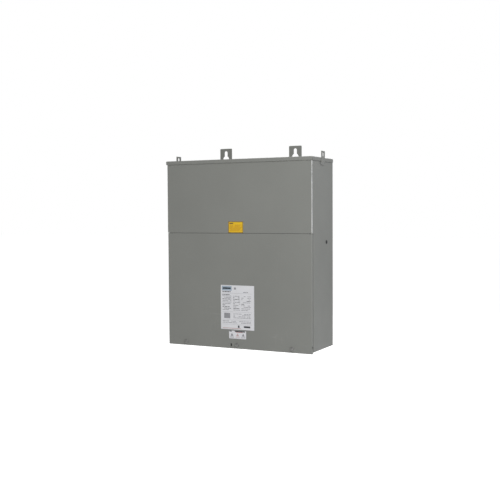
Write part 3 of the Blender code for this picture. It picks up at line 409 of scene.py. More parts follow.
# inks printed on the plates, and on the control board
inkLooks = {
    "ink_dark": (0.045, 0.045, 0.052),
    "ink_grey": (0.30, 0.30, 0.315),
    "ink_pale_blue": (0.36, 0.44, 0.52),
    "ink_pink": (0.56, 0.40, 0.39),
    "ink_red": (0.40, 0.09, 0.07),
    "ink_brown": (0.16, 0.085, 0.03),
    "ink_orange": (0.46, 0.17, 0.006),
    "ink_white": (0.70, 0.70, 0.68),
}


def makeInk(name, base, seed):
    material, tree, shader, drift = startToned(name, base, 0.10, 160.0, seed)
    pinholes = ramp(tree, noise(tree, objectPoint(tree), 3200.0, 2.0, seed), 0.62, 0.74, 0.0, 0.5)
    joinUp(tree, shader, Base_Color=mixColours(tree, pinholes, drift, (0.55, 0.55, 0.55, 1.0)),
           Roughness=ramp(tree, pinholes, 0.0, 0.5, 0.42, 0.6))
    return material


def makeCoilTape(name):
    look = {"colour": (0.46, 0.24, 0.05), "edge": (0.24, 0.11, 0.02), "bandsPerMetre": 95.0}
    material, tree, shader, drift = startToned(name, look["colour"], 0.12, 60.0)
    upright = addNode(tree, "ShaderNodeSeparateXYZ", {0: objectPoint(tree)}).outputs[2]
    waver = product(tree, noise(tree, objectPoint(tree), 60.0, 2.0), 0.12)
    bands = calc(tree, "FRACT", calc(tree, "ADD", product(tree, upright, look["bandsPerMetre"]), waver))
    lap = ramp(tree, bands, 0.0, 0.12, 1.0, 0.0)
    colour = mixColours(tree, product(tree, lap, 0.7), drift, opaque(look["edge"]))
    dust = useGroup(tree, settledDust, Amount=0.3, Patches=120.0)["Mask"]
    joinUp(tree, shader, Base_Color=mixColours(tree, dust, colour, dustColour),
           Roughness=ramp(tree, bands, 0.0, 1.0, 0.34, 0.46), Normal=bump(tree, bands, 0.5, 0.0002))
    return material


def makeBoardGreen(name):
    look = {"mask": (0.012, 0.125, 0.055), "tracks": (0.030, 0.215, 0.095), "trackPitch": 420.0}
    material, tree, shader, drift = startToned(name, look["mask"], 0.08, 50.0)
    point = objectPoint(tree, (1.0, 0.0, 1.0))
    cells = addNode(tree, "ShaderNodeTexVoronoi", {"Vector": point, "Scale": look["trackPitch"]},
                    distance="CHEBYCHEV")
    tracks = ramp(tree, cells.outputs["Distance"], 0.30, 0.36)
    blocks = ramp(tree, noise(tree, point, 70.0, 1.0, 5.0), 0.47, 0.50)
    copper = product(tree, tracks, blocks)
    dust = useGroup(tree, settledDust, Amount=0.4, Patches=140.0)["Mask"]
    colour = mixColours(tree, copper, drift, opaque(look["tracks"]))
    joinUp(tree, shader, Base_Color=mixColours(tree, dust, colour, dustColour),
           Roughness=ramp(tree, noise(tree, point, 300.0), 0.3, 0.7, 0.24, 0.36),
           Normal=bump(tree, copper, 0.4, 0.00004))
    shader.inputs["Coat Weight"].default_value = 0.3
    shader.inputs["Coat Roughness"].default_value = 0.15
    return material


def makeLaminations(name):
    # stacked transformer and magnet sheets, and the arc plates
    look = {"sheet": (0.24, 0.235, 0.23), "gap": (0.06, 0.055, 0.05), "sheetsPerMetre": 1700.0}
    material, tree, shader, drift = startToned(name, look["sheet"], 0.14, 70.0)
    across = addNode(tree, "ShaderNodeSeparateXYZ", {0: objectPoint(tree)}).outputs[1]
    stack = calc(tree, "FRACT", product(tree, across, look["sheetsPerMetre"]))
    seam = ramp(tree, stack, 0.0, 0.3, 1.0, 0.0)
    rust = ramp(tree, noise(tree, objectPoint(tree), 160.0, 6.0, 2.0), 0.58, 0.78, 0.0, 0.6)
    lined = mixColours(tree, product(tree, seam, 0.6), drift, opaque(look["gap"]))
    joinUp(tree, shader, Base_Color=mixColours(tree, rust, lined, (0.20, 0.12, 0.08, 1.0)),
           Metallic=ramp(tree, rust, 0.0, 0.6, 0.9, 0.4), Normal=bump(tree, stack, 0.3, 0.00008),
           Roughness=ramp(tree, noise(tree, objectPoint(tree), 90.0), 0.3, 0.7, 0.42, 0.56))
    return material


finishes = {
    "enclosure_paint": makePaint("enclosure_paint", paintLook, 0.0),
    # the upper cover's paint, with a painted highlight on its upright folds
    "rubbed_paint": makePaint("rubbed_paint", highlightedLook, 0.0),
    "zinc_steel": makeZinc("zinc_steel", (0.62, 0.63, 0.62), 1.0),
    "coil_tape": makeCoilTape("coil_tape"),
    "board_green": makeBoardGreen("board_green"),
    "arc_plate": makeLaminations("arc_plate"),
}
# each finish in a family has its own seed, so that no two drift alike
families = ((metalLooks, makeMetal, 1.7), (plasticLooks, makePlastic, 2.3), (vinylLooks, makeVinyl, 3.1),
            (inkLooks, makeInk, 1.3))
for looks, maker, seedStep in families:
    for index, (label, look) in enumerate(looks.items()):
        finishes[label] = maker(label, look, index * seedStep)
print("finishes made:", len(finishes))


# mesh helpers

def finishPiece(name, builder, body, finish, sharpAngle=35.0):
    mesh = bpy.data.meshes.new(name)
    bmesh.ops.recalc_face_normals(builder, faces=builder.faces)
    builder.to_mesh(mesh)
    builder.free()
    piece = bpy.data.objects.new(name, mesh)
    bpy.context.collection.objects.link(piece)
    mesh.materials.append(finishes[finish])
    mesh.shade_smooth()
    mesh.set_sharp_from_angle(angle=math.radians(sharpAngle))
    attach(piece, body)
    return piece


def softenEdges(piece, reach, segments=2, angle=32.0):
    step = piece.modifiers.new("soft edges", "BEVEL")
    step.width = reach
    step.segments = segments
    step.limit_method = "ANGLE"
    step.angle_limit = math.radians(angle)
    step.use_clamp_overlap = False
    step.harden_normals = True
    step.miter_outer = "MITER_ARC"
    return piece


def settle(piece):
    # turns the piece's modifiers into plain mesh
    bpy.context.view_layer.update()
    evaluated = piece.evaluated_get(bpy.context.evaluated_depsgraph_get())
    mesh = bpy.data.meshes.new_from_object(evaluated)
    piece.modifiers.clear()
    piece.data = mesh
    return piece


def addBlock(builder, low, high, soften=0.0):
    low, high = Vector(low), Vector(high)
    place = Matrix.Translation((low + high) / 2) @ Matrix.Diagonal((*(high - low), 1.0))
    made = bmesh.ops.create_cube(builder, size=1.0, matrix=place)
    if soften:
        edges = {edge for vert in made["verts"] for edge in vert.link_edges}
        bmesh.ops.bevel(builder, geom=list(edges), offset=soften, segments=2, profile=0.5, affect="EDGES")


turnMatrices = {
    "x": Matrix.Rotation(math.radians(90), 4, "Y"),
    "y": Matrix.Rotation(math.radians(-90), 4, "X"),
    "z": Matrix.Identity(4),
}


def addTurned(builder, profile, axis, centre, sides=24):
    # (radius, distance along the axis) points; radius 0 closes an end, otherwise the ring closes on itself
    place = Matrix.Translation(centre) @ turnMatrices[axis]
    rings = []
    for radius, along in profile:
        count = sides if radius else 1
        ring = []
        for i in range(count):
            turn = math.tau * i / sides
            ring.append(builder.verts.new(place @ Vector((radius * math.cos(turn), radius * math.sin(turn),
                                                          along))))
        rings.append(ring)
    closing = rings[1:] + rings[:1] if profile[0][0] else rings[1:]
    for ring, following in zip(rings, closing):
        for i in range(sides):
            j = (i + 1) % sides
            if len(ring) == 1:
                builder.faces.new((ring[0], following[j], following[i]))
            elif len(following) == 1:
                builder.faces.new((ring[i], ring[j], following[0]))
            else:
                builder.faces.new((ring[i], ring[j], following[j], following[i]))


def addRod(builder, radius, start, stop, axis, place, soften=0.0, sides=20):
    # place gives the two coordinates off the axis, in x, y, z order
    centre = list(place)
    centre.insert("xyz".index(axis), 0.0)
    profile = [(0, start), (radius - soften, start), (radius, start + soften), (radius, stop - soften),
               (radius - soften, stop), (0, stop)]
    if not soften:
        profile = [(0, start), (radius, start), (radius, stop), (0, stop)]
    addTurned(builder, profile, axis, centre, sides)


outlineAxes = {"x": (1, 2, 0), "y": (0, 2, 1), "z": (0, 1, 2)}


def addPrism(builder, outline, axis, low, high):
    first, second, along = outlineAxes[axis]
    rings = []
    for level in (low, high):
        ring = []
        for a, b in outline:
            point = Vector((0, 0, 0))
            point[first], point[second], point[along] = a, b, level
            ring.append(builder.verts.new(point))
        rings.append(ring)
    builder.faces.new(rings[0])
    builder.faces.new(rings[1][::-1])
    count = len(outline)
    for i in range(count):
        j = (i + 1) % count
        builder.faces.new((rings[0][i], rings[0][j], rings[1][j], rings[1][i]))


def arcPoints(centre, radius, start, stop, steps):
    return [(centre[0] + radius * math.cos(math.radians(start + (stop - start) * i / steps)),
             centre[1] + radius * math.sin(math.radians(start + (stop - start) * i / steps)))
            for i in range(steps + 1)]


def roundedOutline(low, high, radius, steps=4):
    points = []
    corners = ((high[0] - radius, high[1] - radius, 0), (low[0] + radius, high[1] - radius, 90),
               (low[0] + radius, low[1] + radius, 180), (high[0] - radius, low[1] + radius, 270))
    for x, z, turn in corners:
        points += arcPoints((x, z), radius, turn, turn + 90, steps)
    return points


sideNames = {"-x": (0, -1), "+x": (0, 1), "-y": (1, -1), "+y": (1, 1), "-z": (2, -1), "+z": (2, 1)}


def foldedSheet(name, low, high, main, returns, body, finish, sheet, radius, through=()):
    # a sheet with a flat main face and folded edges; "through" edges run past the ends of the others
    low, high = Vector(low), Vector(high)
    axis, sign = sideNames[main]
    flat = [i for i in range(3) if i != axis]
    builder = bmesh.new()

    def place(signs, backset, trims):
        point = Vector((0, 0, 0))
        point[axis] = (high if sign * backset > 0 else low)[axis]
        for i in flat:
            point[i] = (high if signs[i] > 0 else low)[i] - signs[i] * trims.get(i, 0.0)
        return point

    corners = {}
    for a in (-1, 1):
        for b in (-1, 1):
            corners[(a, b)] = builder.verts.new(place({flat[0]: a, flat[1]: b}, 1, {}))
    ring = [corners[key] for key in ((-1, -1), (1, -1), (1, 1), (-1, 1))]
    builder.faces.new(ring)
    folds = []
    for side in returns:
        sideAxis, sideSign = sideNames[side]
        other = flat[0] if sideAxis == flat[1] else flat[1]
        shared, free = [], []
        for end in (-1, 1):
            signs = {sideAxis: sideSign, other: end}
            endSide = ("-" if end < 0 else "+") + "xyz"[other]
            trim = sheet + 0.0003 if endSide in returns and side not in through else 0.0
            shared.append(corners[(signs[flat[0]], signs[flat[1]])])
            free.append(builder.verts.new(place(signs, -1, {other: trim})))
        builder.faces.new((shared[0], shared[1], free[1], free[0]))
        folds.append(builder.edges.get(shared))
    middle = (low + high) / 2
    builder.normal_update()
    for face in builder.faces:
        if face.normal.dot(face.calc_center_median() - middle) < 0:
            face.normal_flip()
    bmesh.ops.bevel(builder, geom=folds, offset=radius, segments=5, profile=0.5, affect="EDGES")
    mesh = bpy.data.meshes.new(name)
    builder.to_mesh(mesh)
    builder.free()
    piece = bpy.data.objects.new(name, mesh)
    bpy.context.collection.objects.link(piece)
    mesh.materials.append(finishes[finish])
    mesh.shade_smooth()
    thicken = piece.modifiers.new("sheet", "SOLIDIFY")
    thicken.thickness = sheet
    thicken.offset = -1.0
    thicken.use_even_offset = True
    settle(piece)
    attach(piece, body)
    return piece


def cutAway(piece, cutters):
    # cutters is a function that adds closed shapes to a builder
    builder = bmesh.new()
    cutters(builder)
    bmesh.ops.recalc_face_normals(builder, faces=builder.faces)
    mesh = bpy.data.meshes.new("cutter")
    builder.to_mesh(mesh)
    builder.free()
    cutter = bpy.data.objects.new("cutter", mesh)
    bpy.context.collection.objects.link(cutter)
    step = piece.modifiers.new("cut", "BOOLEAN")
    step.object = cutter
    step.solver = "EXACT"
    step.use_self = True
    settle(piece)
    bpy.data.objects.remove(cutter, do_unlink=True)
    bpy.data.meshes.remove(mesh)
    return piece


def edgeSheet(piece, reach=0.00025):
    piece.data.set_sharp_from_angle(angle=math.radians(40))
    softenEdges(piece, reach, 2, 50.0)
    flatten = piece.modifiers.new("flat faces", "WEIGHTED_NORMAL")
    flatten.keep_sharp = True
    return piece


# places that many pieces share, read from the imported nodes
def nodeBox(name):
    low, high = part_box(name)
    return Vector(low), Vector(high)


upperLow, upperHigh = nodeBox("upper_cover")
frontY = upperLow.y
sheetSize = 0.0018
earSheet = 0.0024
foldRadius = 0.0027


# covers and cap

coverPlan = {
    "depth": 0.009,             # folded edges
    "lowerNarrower": 0.0012,
    "screwHole": 0.0032,
    "sealSlot": (0.0055, 0.0095),
    "sealSlotX": -0.0235,
    "lipLap": 0.010,
    "lipOffset": 0.0006,
    "notchRise": 0.0165,        # notches in the lower cover's folded sides, above its lower edge
    "notchTall": 0.0080,
    "notchSet": 0.0020,         # behind the front face
}


def makeUpperCover():
    # its upright folds carry a painted highlight
    cover = foldedSheet("coverUpper", upperLow, upperHigh, "-y", ("-x", "+x", "+z"), "enclosure",
                        "rubbed_paint",
                        sheetSize, foldRadius, through=("-x", "+x"))
    edgeSheet(cover)
    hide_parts("upper_cover")


def screwPlaces():
    places = []
    for side in ("left", "centre", "right"):
        low, high = nodeBox(f"cover_screw_{side}")
        middle = (low + high) / 2
        places.append((side, middle.x, middle.z))
    return places


def makeLowerCover():
    low, high = nodeBox("lower_cover")
    seamZ = upperLow.z
    top = seamZ - 0.0012
    outer = upperHigh.x - coverPlan["lowerNarrower"]
    cover = foldedSheet("coverLower", (-outer, frontY, low.z), (outer, frontY + coverPlan["depth"], top),
                        "-y",
                        ("-x", "+x", "-z"), "lower_cover", "enclosure_paint", sheetSize, foldRadius,
                        through=("-x", "+x"))
    wide, tall = coverPlan["sealSlot"]
    screwZ = screwPlaces()[0][2]

    def holes(builder):
        for side, x, z in screwPlaces():
            addRod(builder, coverPlan["screwHole"], frontY - 0.004, frontY + 0.006, "y", (x, z))
        x = coverPlan["sealSlotX"]
        addPrism(builder, roundedOutline((x - wide / 2, screwZ - tall / 2), (x + wide / 2, screwZ + tall / 2),
                                         0.0012),
                 "y", frontY - 0.004, frontY + 0.006)
        notch = low.z + coverPlan["notchRise"]
        for x in (-outer, outer):
            addBlock(builder, (x - 0.003, frontY + coverPlan["notchSet"], notch),
                     (x + 0.003, frontY + 0.012, notch + coverPlan["notchTall"]))

    cutAway(cover, holes)
    edgeSheet(cover)
    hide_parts("lower_cover")
    # tucked lip, welded behind the cover's top edge
    back = frontY + sheetSize
    lipY = back + coverPlan["lipOffset"]
    lipLow, lipHigh = top - coverPlan["lipLap"], high.z
    lipHalf = upperHigh.x - 0.0155
    lap = 0.0001
    builder = bmesh.new()
    outline = [(back + lap, lipLow), (back + lap, top - 0.0035), (lipY, top - 0.001),
               (lipY, lipHigh - 0.0006),
               (lipY + 0.0006, lipHigh), (lipY + sheetSize - 0.0004, lipHigh),
               (lipY + sheetSize, lipHigh - 0.0006),
               (lipY + sheetSize, top - 0.0014), (back + lap + sheetSize, top - 0.0039),
               (back + lap + sheetSize, lipLow)]
    addPrism(builder, outline, "x", -lipHalf, lipHalf)
    lip = finishPiece("coverLip", builder, "lower_cover", "enclosure_paint")
    softenEdges(lip, 0.0003)


def makeTopCap():
    low, high = nodeBox("top_cap")
    cap = foldedSheet("capTop", low, high, "+z", ("-x", "+x", "-y"), "enclosure", "enclosure_paint",
                      sheetSize,
                      foldRadius, through=("-x", "+x"))
    edgeSheet(cap)
    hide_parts("top_cap")


# back panel: keyhole ears, foot holes, and the dents that spot welding leaves

backPlan = {
    "earX": 0.1334,
    "earWidth": 0.0465,
    "earCorner": 0.003,
    "slotRadius": 0.0058,
    "roundRadius": 0.0118,
    "roundRise": 0.0120,        # centre of the round part above the box
    "topLand": 0.0085,          # metal left above the slot
    "footHoleRadius": 0.0045,
    "footHoleRise": 0.030,
    "dentRadius": 0.0030,
    "dentDepth": 0.00045,
    "dentPitch": 0.062,
    "dentInset": 0.0085,
}


def makeBackPanel():
    low, high = nodeBox("back_panel")
    boxTop = nodeBox("top_cap")[1].z
    plan = backPlan
    corner = plan["earCorner"]
    outline = [(low.x, low.z), (high.x, low.z), (high.x, boxTop)]
    for x in (plan["earX"], -plan["earX"]):
        left, right = x - plan["earWidth"] / 2, x + plan["earWidth"] / 2
        outline.append((right, boxTop))
        outline += arcPoints((right - corner, high.z - corner), corner, 0, 90, 5)
        outline += arcPoints((left + corner, high.z - corner), corner, 90, 180, 5)
        outline.append((left, boxTop))
    outline.append((low.x, boxTop))
    builder = bmesh.new()
    addPrism(builder, outline, "y", low.y, high.y)
    panel = finishPiece("backPanel", builder, "enclosure", "enclosure_paint")

    def holes(cutter):
        shoulder = math.degrees(math.acos(plan["slotRadius"] / plan["roundRadius"]))
        slotZ = high.z - plan["topLand"] - plan["slotRadius"]
        roundZ = boxTop + plan["roundRise"]
        for x in (plan["earX"], -plan["earX"]):
            keyhole = arcPoints((x, slotZ), plan["slotRadius"], 0, 180, 14)
            keyhole += arcPoints((x, roundZ), plan["roundRadius"], 180 - shoulder, 360 + shoulder, 30)
            addPrism(cutter, keyhole, "y", low.y - 0.002, high.y + 0.002)
            addRod(cutter, plan["footHoleRadius"], low.y - 0.002, high.y + 0.002, "y",
                   (x, low.z + plan["footHoleRise"]), sides=28)
        # shallow dents where the side walls' and pans' flanges are welded on
        radius, depth = plan["dentRadius"], plan["dentDepth"]
        inset, pitch = plan["dentInset"], plan["dentPitch"]
        count = int((boxTop - low.z - 2 * inset) / pitch)
        spots = [(x, low.z + 0.028 + i * pitch) for x in (low.x + inset,
                                                          high.x - inset) for i in range(count + 1)]
        spots += [(x, boxTop - inset) for x in (-0.20, -0.067, 0.0, 0.067, 0.20)]
        spots += [(x, low.z + inset) for x in (-0.20, -0.10, 0.0, 0.10, 0.20)]
        for x, z in spots:
            dish = [(0, depth), (radius * 0.55, depth * 0.85), (radius * 0.85, depth * 0.4),
                    (radius * 1.2, -depth * 0.4), (0, -depth * 0.4)]
            addTurned(cutter, [(r, -along) for r, along in dish], "y", (x, high.y, z), 18)

    cutAway(panel, holes)
    edgeSheet(panel, 0.0003)
    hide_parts("back_panel")


# bottom pan with its conduit knockouts

panPlan = {
    "flange": 0.017,
    "knockouts": ((-0.165, -0.088), (0.0, -0.088), (0.165, -0.088)),
    "rings": (0.0430, 0.0345, 0.0265),
    "slit": 0.00045,
    "bridge": 16.0,             # degrees of metal left at each bridge
    "smallKnockouts": ((-0.083, -0.070), (0.083, -0.070)),
    "smallRings": (0.0142, 0.0112),
}


def addSlit(builder, centre, radius, start, stop, low, high):
    slit = panPlan["slit"]
    steps = 20
    outer = arcPoints(centre, radius + slit, start, stop, steps)
    inner = arcPoints(centre, radius - slit, stop, start, steps)
    addPrism(builder, outer + inner, "z", low, high)


def makeBottomPan():
    low, high = nodeBox("bottom_pan")
    backY = nodeBox("side_wall_left")[1].y - 0.0021
    frontFlange = nodeBox("cross_rail")[0].y
    pan = foldedSheet("panBottom", (low.x, frontFlange, low.z), (high.x, backY, low.z + panPlan["flange"]),
                      "-z",
                      ("-y", "+y"), "enclosure", "enclosure_paint", sheetSize, foldRadius)
    panLow, panHigh = low.z - 0.002, low.z + 0.004

    def holes(builder):
        for side, x, z in screwPlaces():
            addRod(builder, 0.0046, frontFlange - 0.004, frontFlange + 0.006, "y", (x, z))
        for index, centre in enumerate(panPlan["knockouts"]):
            for ring, radius in enumerate(panPlan["rings"]):
                turn = 30 + 60 * ring + 20 * index
                for half in (0, 180):
                    addSlit(builder, centre, radius, turn + half + panPlan["bridge"] / 2,
                            turn + half + 180 - panPlan["bridge"] / 2, panLow, panHigh)
        for index, centre in enumerate(panPlan["smallKnockouts"]):
            for ring, radius in enumerate(panPlan["smallRings"]):
                turn = 15 + 70 * ring
                for half in (0, 180):
                    addSlit(builder, centre, radius, turn + half + 14, turn + half + 166, panLow, panHigh)

    cutAway(pan, holes)
    edgeSheet(pan, 0.0002)
    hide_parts("bottom_pan")
    # seal tab, welded to the front flange and reaching into the cover's slot
    tall = coverPlan["sealSlot"][1]
    x = coverPlan["sealSlotX"]
    screwZ = screwPlaces()[0][2]
    tabHalf = 0.00125
    tabFront, tabBack = frontY + 0.0055, frontFlange - 0.0001
    builder = bmesh.new()
    tabTop = screwZ + tall / 2 - 0.0005
    outline = [(tabBack, low.z + sheetSize), (tabBack, tabTop), (tabFront + 0.002, tabTop),
               (tabFront, tabTop - 0.002), (tabFront, low.z + sheetSize)]
    addPrism(builder, outline, "x", x - tabHalf, x + tabHalf)
    tab = finishPiece("sealTab", builder, "enclosure", "enclosure_paint")
    softenEdges(tab, 0.0003)


# cover screws: hex washer heads with a screwdriver slot

screwPlan = {
    "washerRadius": 0.0070,
    "washerThick": 0.0013,
    "hexRadius": 0.0054,
    "headHeight": 0.0051,
    "slotWide": 0.0013,
    "slotDeep": 0.0012,
    "shankRadius": 0.0023,
    "threadPitch": 0.0010,
}


def makeCoverScrew(side, x, z, turn):
    high = nodeBox(f"cover_screw_{side}")[1]
    face = frontY - 0.0003
    plan = screwPlan
    builder = bmesh.new()
    thick = plan["washerThick"]
    washer = [(0, 0.0), (plan["washerRadius"] - 0.0003, 0.0), (plan["washerRadius"], 0.0003),
              (plan["washerRadius"] - 0.0005, thick * 0.8), (plan["hexRadius"] - 0.0004, thick), (0, thick)]
    addTurned(builder, [(radius, -along) for radius, along in washer], "y", (x, face, z), 32)
    # hexagon with a turned-down crown
    hexTop = plan["headHeight"]
    hexagon = [(0, thick * 0.5), (plan["hexRadius"], thick * 0.5), (plan["hexRadius"], hexTop - 0.0007),
               (plan["hexRadius"] * 0.80, hexTop), (0, hexTop)]
    start = len(builder.verts)
    addTurned(builder, [(radius, -along) for radius, along in hexagon], "y", (x, face, z), 6)
    builder.verts.ensure_lookup_table()
    spin = Matrix.Rotation(turn, 4, "Y")
    centre = Vector((x, face, z))
    for vert in builder.verts[start:]:
        vert.co = centre + spin @ (vert.co - centre)
    # shank with turned thread ridges
    shank = [(0, 0.0), (plan["shankRadius"], 0.0)]
    along = 0.002
    stop = high.y - face
    while along < stop - 0.0012:
        shank += [(plan["shankRadius"] - 0.0003, along),
                  (plan["shankRadius"], along + plan["threadPitch"] / 2)]
        along += plan["threadPitch"]
    shank += [(plan["shankRadius"] * 0.55, stop), (0, stop)]
    addTurned(builder, shank, "y", (x, face, z), 16)
    screw = finishPiece(f"coverScrew.{side}", builder, "lower_cover", "dull_steel", 30.0)

    def slot(cutter):
        first = len(cutter.verts)
        reach = plan["hexRadius"] * 1.2
        half = plan["slotWide"] / 2
        addBlock(cutter, (-reach, -hexTop - 0.001, -half), (reach, -hexTop + plan["slotDeep"], half))
        cutter.verts.ensure_lookup_table()
        for vert in cutter.verts[first:]:
            vert.co = centre + Matrix.Rotation(turn + 0.35, 4, "Y") @ vert.co

    cutAway(screw, slot)
    screw.data.set_sharp_from_angle(angle=math.radians(30))
    softenEdges(screw, 0.00012, 2, 30.0)
    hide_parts(f"cover_screw_{side}")


# printed plates: generic bars, blocks and rules only

labelPlan = {
    "thick": 0.0005,
    "corner": 0.0016,
    "inkProud": 0.00004,
}


class PrintSheet:
    # collects printed marks by ink and turns each ink into one thin mesh; places are shares of the plate

    def __init__(self, name, node, body, vinyl):
        low, high = nodeBox(node)
        self.low, self.high = low, high
        self.name = name
        self.body = body
        self.inks = {}
        builder = bmesh.new()
        addPrism(builder, roundedOutline((low.x, low.z), (high.x, high.z), labelPlan["corner"]), "y", low.y,
                 high.y)
        plate = finishPiece(name, builder, body, vinyl)
        softenEdges(plate, 0.00012)
        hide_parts(node)

    def spot(self, x, y):
        size = self.high - self.low
        return self.low.x + size.x * x, self.high.z - size.z * y

    def outline(self, ink, points):
        builder = self.inks.setdefault(ink, bmesh.new())
        face = self.low.y
        addPrism(builder, [self.spot(x, y) for x, y in points], "y", face - labelPlan["inkProud"],
                 face + labelPlan["thick"] / 2)

    def bar(self, ink, left, top, right, bottom):
        self.outline(ink, [(left, top), (right, top), (right, bottom), (left, bottom)])

    def words(self, ink, left, right, top, tall, fill=0.8, longest=0.10):
        x = left
        while x < right - 0.01:
            length = min(random.uniform(0.25, 1.0) * longest, right - x)
            if random.random() < fill:
                self.bar(ink, x, top, x + length, top + tall)
            x += length + 0.012

    def finish(self):
        for ink, builder in self.inks.items():
            finishPiece(f"{self.name}.{ink}", builder, self.body, ink)


def makeNameplate():
    plate = PrintSheet("plateMain", "nameplate_label", "lower_cover", "white_vinyl")
    plate.bar("ink_pale_blue", 0.035, 0.020, 0.330, 0.125)
    plate.bar("ink_dark", 0.060, 0.055, 0.300, 0.085)
    plate.bar("ink_grey", 0.40, 0.050, 0.46, 0.095)
    plate.words("ink_dark", 0.05, 0.30, 0.140, 0.018, 1.0, 0.10)
    plate.words("ink_dark", 0.05, 0.28, 0.205, 0.016, 1.0, 0.12)
    plate.words("ink_grey", 0.58, 0.82, 0.145, 0.016, 0.9, 0.12)
    columns = ((0.05, 0.32), (0.38, 0.58), (0.62, 0.90))
    for row in range(10):
        top = 0.240 + row * 0.0345
        for left, right in columns:
            plate.words(random.choice(("ink_grey", "ink_grey", "ink_dark")), left, right, top, 0.0125, 0.72)
    plate.bar("ink_grey", 0.10, 0.630, 0.28, 0.750)
    for row in range(4):
        plate.words("ink_grey", 0.38, 0.90, 0.638 + row * 0.030, 0.0115, 0.85)
    for row in range(2):
        plate.words("ink_grey", 0.05, 0.90, 0.808 + row * 0.034, 0.0115, 0.9)
    for top in (0.180, 0.600, 0.780, 0.885):
        plate.bar("ink_grey", 0.04, top, 0.94, top + 0.003)
    plate.bar("ink_dark", 0.515, 0.905, 0.560, 0.955)
    plate.bar("ink_dark", 0.69, 0.910, 0.88, 0.950)
    plate.bar("ink_pink", 0.05, 0.965, 0.60, 0.980)
    plate.finish()


def makeSmallPlate():
    plate = PrintSheet("plateSmall", "small_label", "lower_cover", "white_vinyl")
    plate.bar("ink_dark", 0.02, 0.015, 0.16, 0.130)
    plate.bar("ink_dark", 0.34, 0.015, 0.94, 0.150)
    plate.bar("ink_red", 0.40, 0.160, 0.80, 0.210)
    for middle, ink in ((0.17, "ink_grey"), (0.50, "ink_pink"), (0.83, "ink_grey")):
        plate.outline(ink, [(middle - 0.085, 0.66), (middle + 0.085, 0.66), (middle, 0.30)])
        plate.words(ink, middle - 0.11, middle + 0.12, 0.74, 0.045, 1.0, 0.07)
        plate.words(ink, middle - 0.11, middle + 0.12, 0.84, 0.045, 1.0, 0.07)
    plate.finish()


def makeCautionPlate():
    plate = PrintSheet("plateCaution", "caution_label", "enclosure", "yellow_vinyl")
    rim, wide = 0.006, 0.030
    tall = 1.45
    plate.bar("ink_brown", rim, rim * tall, 1 - rim, (rim + wide) * tall)
    plate.bar("ink_brown", rim, 1 - (rim + wide) * tall, 1 - rim, 1 - rim * tall)
    plate.bar("ink_brown", rim, rim * tall, rim + wide, 1 - rim * tall)
    plate.bar("ink_brown", 1 - rim - wide, rim * tall, 1 - rim, 1 - rim * tall)
    plate.bar("ink_brown", 0.08, 0.12, 0.34, 0.21)
    for row in range(7):
        plate.words("ink_orange", 0.08, 0.92, 0.29 + row * 0.085, 0.034, 0.9, 0.13)
    plate.finish()


# switchgear behind the covers

slotCutDepth = 0.001


def addHexHead(builder, centre, axis, radius, height, washerRadius=0.0, washerThick=0.0, turn=0.0):
    # a hex head standing out towards the front (-Y) or to the side, on an optional round flange
    sign = -1 if axis == "y" else 1
    if washerRadius:
        flange = [(0, 0.0), (washerRadius, 0.0), (washerRadius, washerThick * 0.6),
                  (washerRadius - washerThick * 0.5, washerThick), (0, washerThick)]
        addTurned(builder, [(r, sign * along) for r, along in flange], axis, centre, 24)
    first = len(builder.verts)
    head = [(0, washerThick * 0.5), (radius, washerThick * 0.5), (radius, height - radius * 0.14),
            (radius * 0.82, height), (0, height)]
    addTurned(builder, [(r, sign * along) for r, along in head], axis, centre, 6)
    builder.verts.ensure_lookup_table()
    spin = Matrix.Rotation(turn, 4, axis.upper())
    for vert in builder.verts[first:]:
        vert.co = Vector(centre) + spin @ (vert.co - Vector(centre))


def addPanHead(builder, centre, radius, height):
    # round screw head facing the front
    crown = [(0, 0.0), (radius, 0.0), (radius, height * 0.35), (radius * 0.86, height * 0.78),
             (radius * 0.55, height), (0, height)]
    addTurned(builder, [(r, -along) for r, along in crown], "y", centre, 20)


def addCrossSlot(cutter, centre, reach, wide, front, deep):
    x, z = centre
    addBlock(cutter, (x - reach, front - slotCutDepth, z - wide / 2), (x + reach, front + deep, z + wide / 2))
    addBlock(cutter, (x - wide / 2, front - slotCutDepth, z - reach), (x + wide / 2, front + deep, z + reach))


arcPlan = {
    "platesPerPole": 7,
    "plateThick": 0.0018,
    "cheekThick": 0.0014,
    "notchHalf": 0.011,
    "notchDepth": 0.013,
    "slatInset": 0.0035,
}


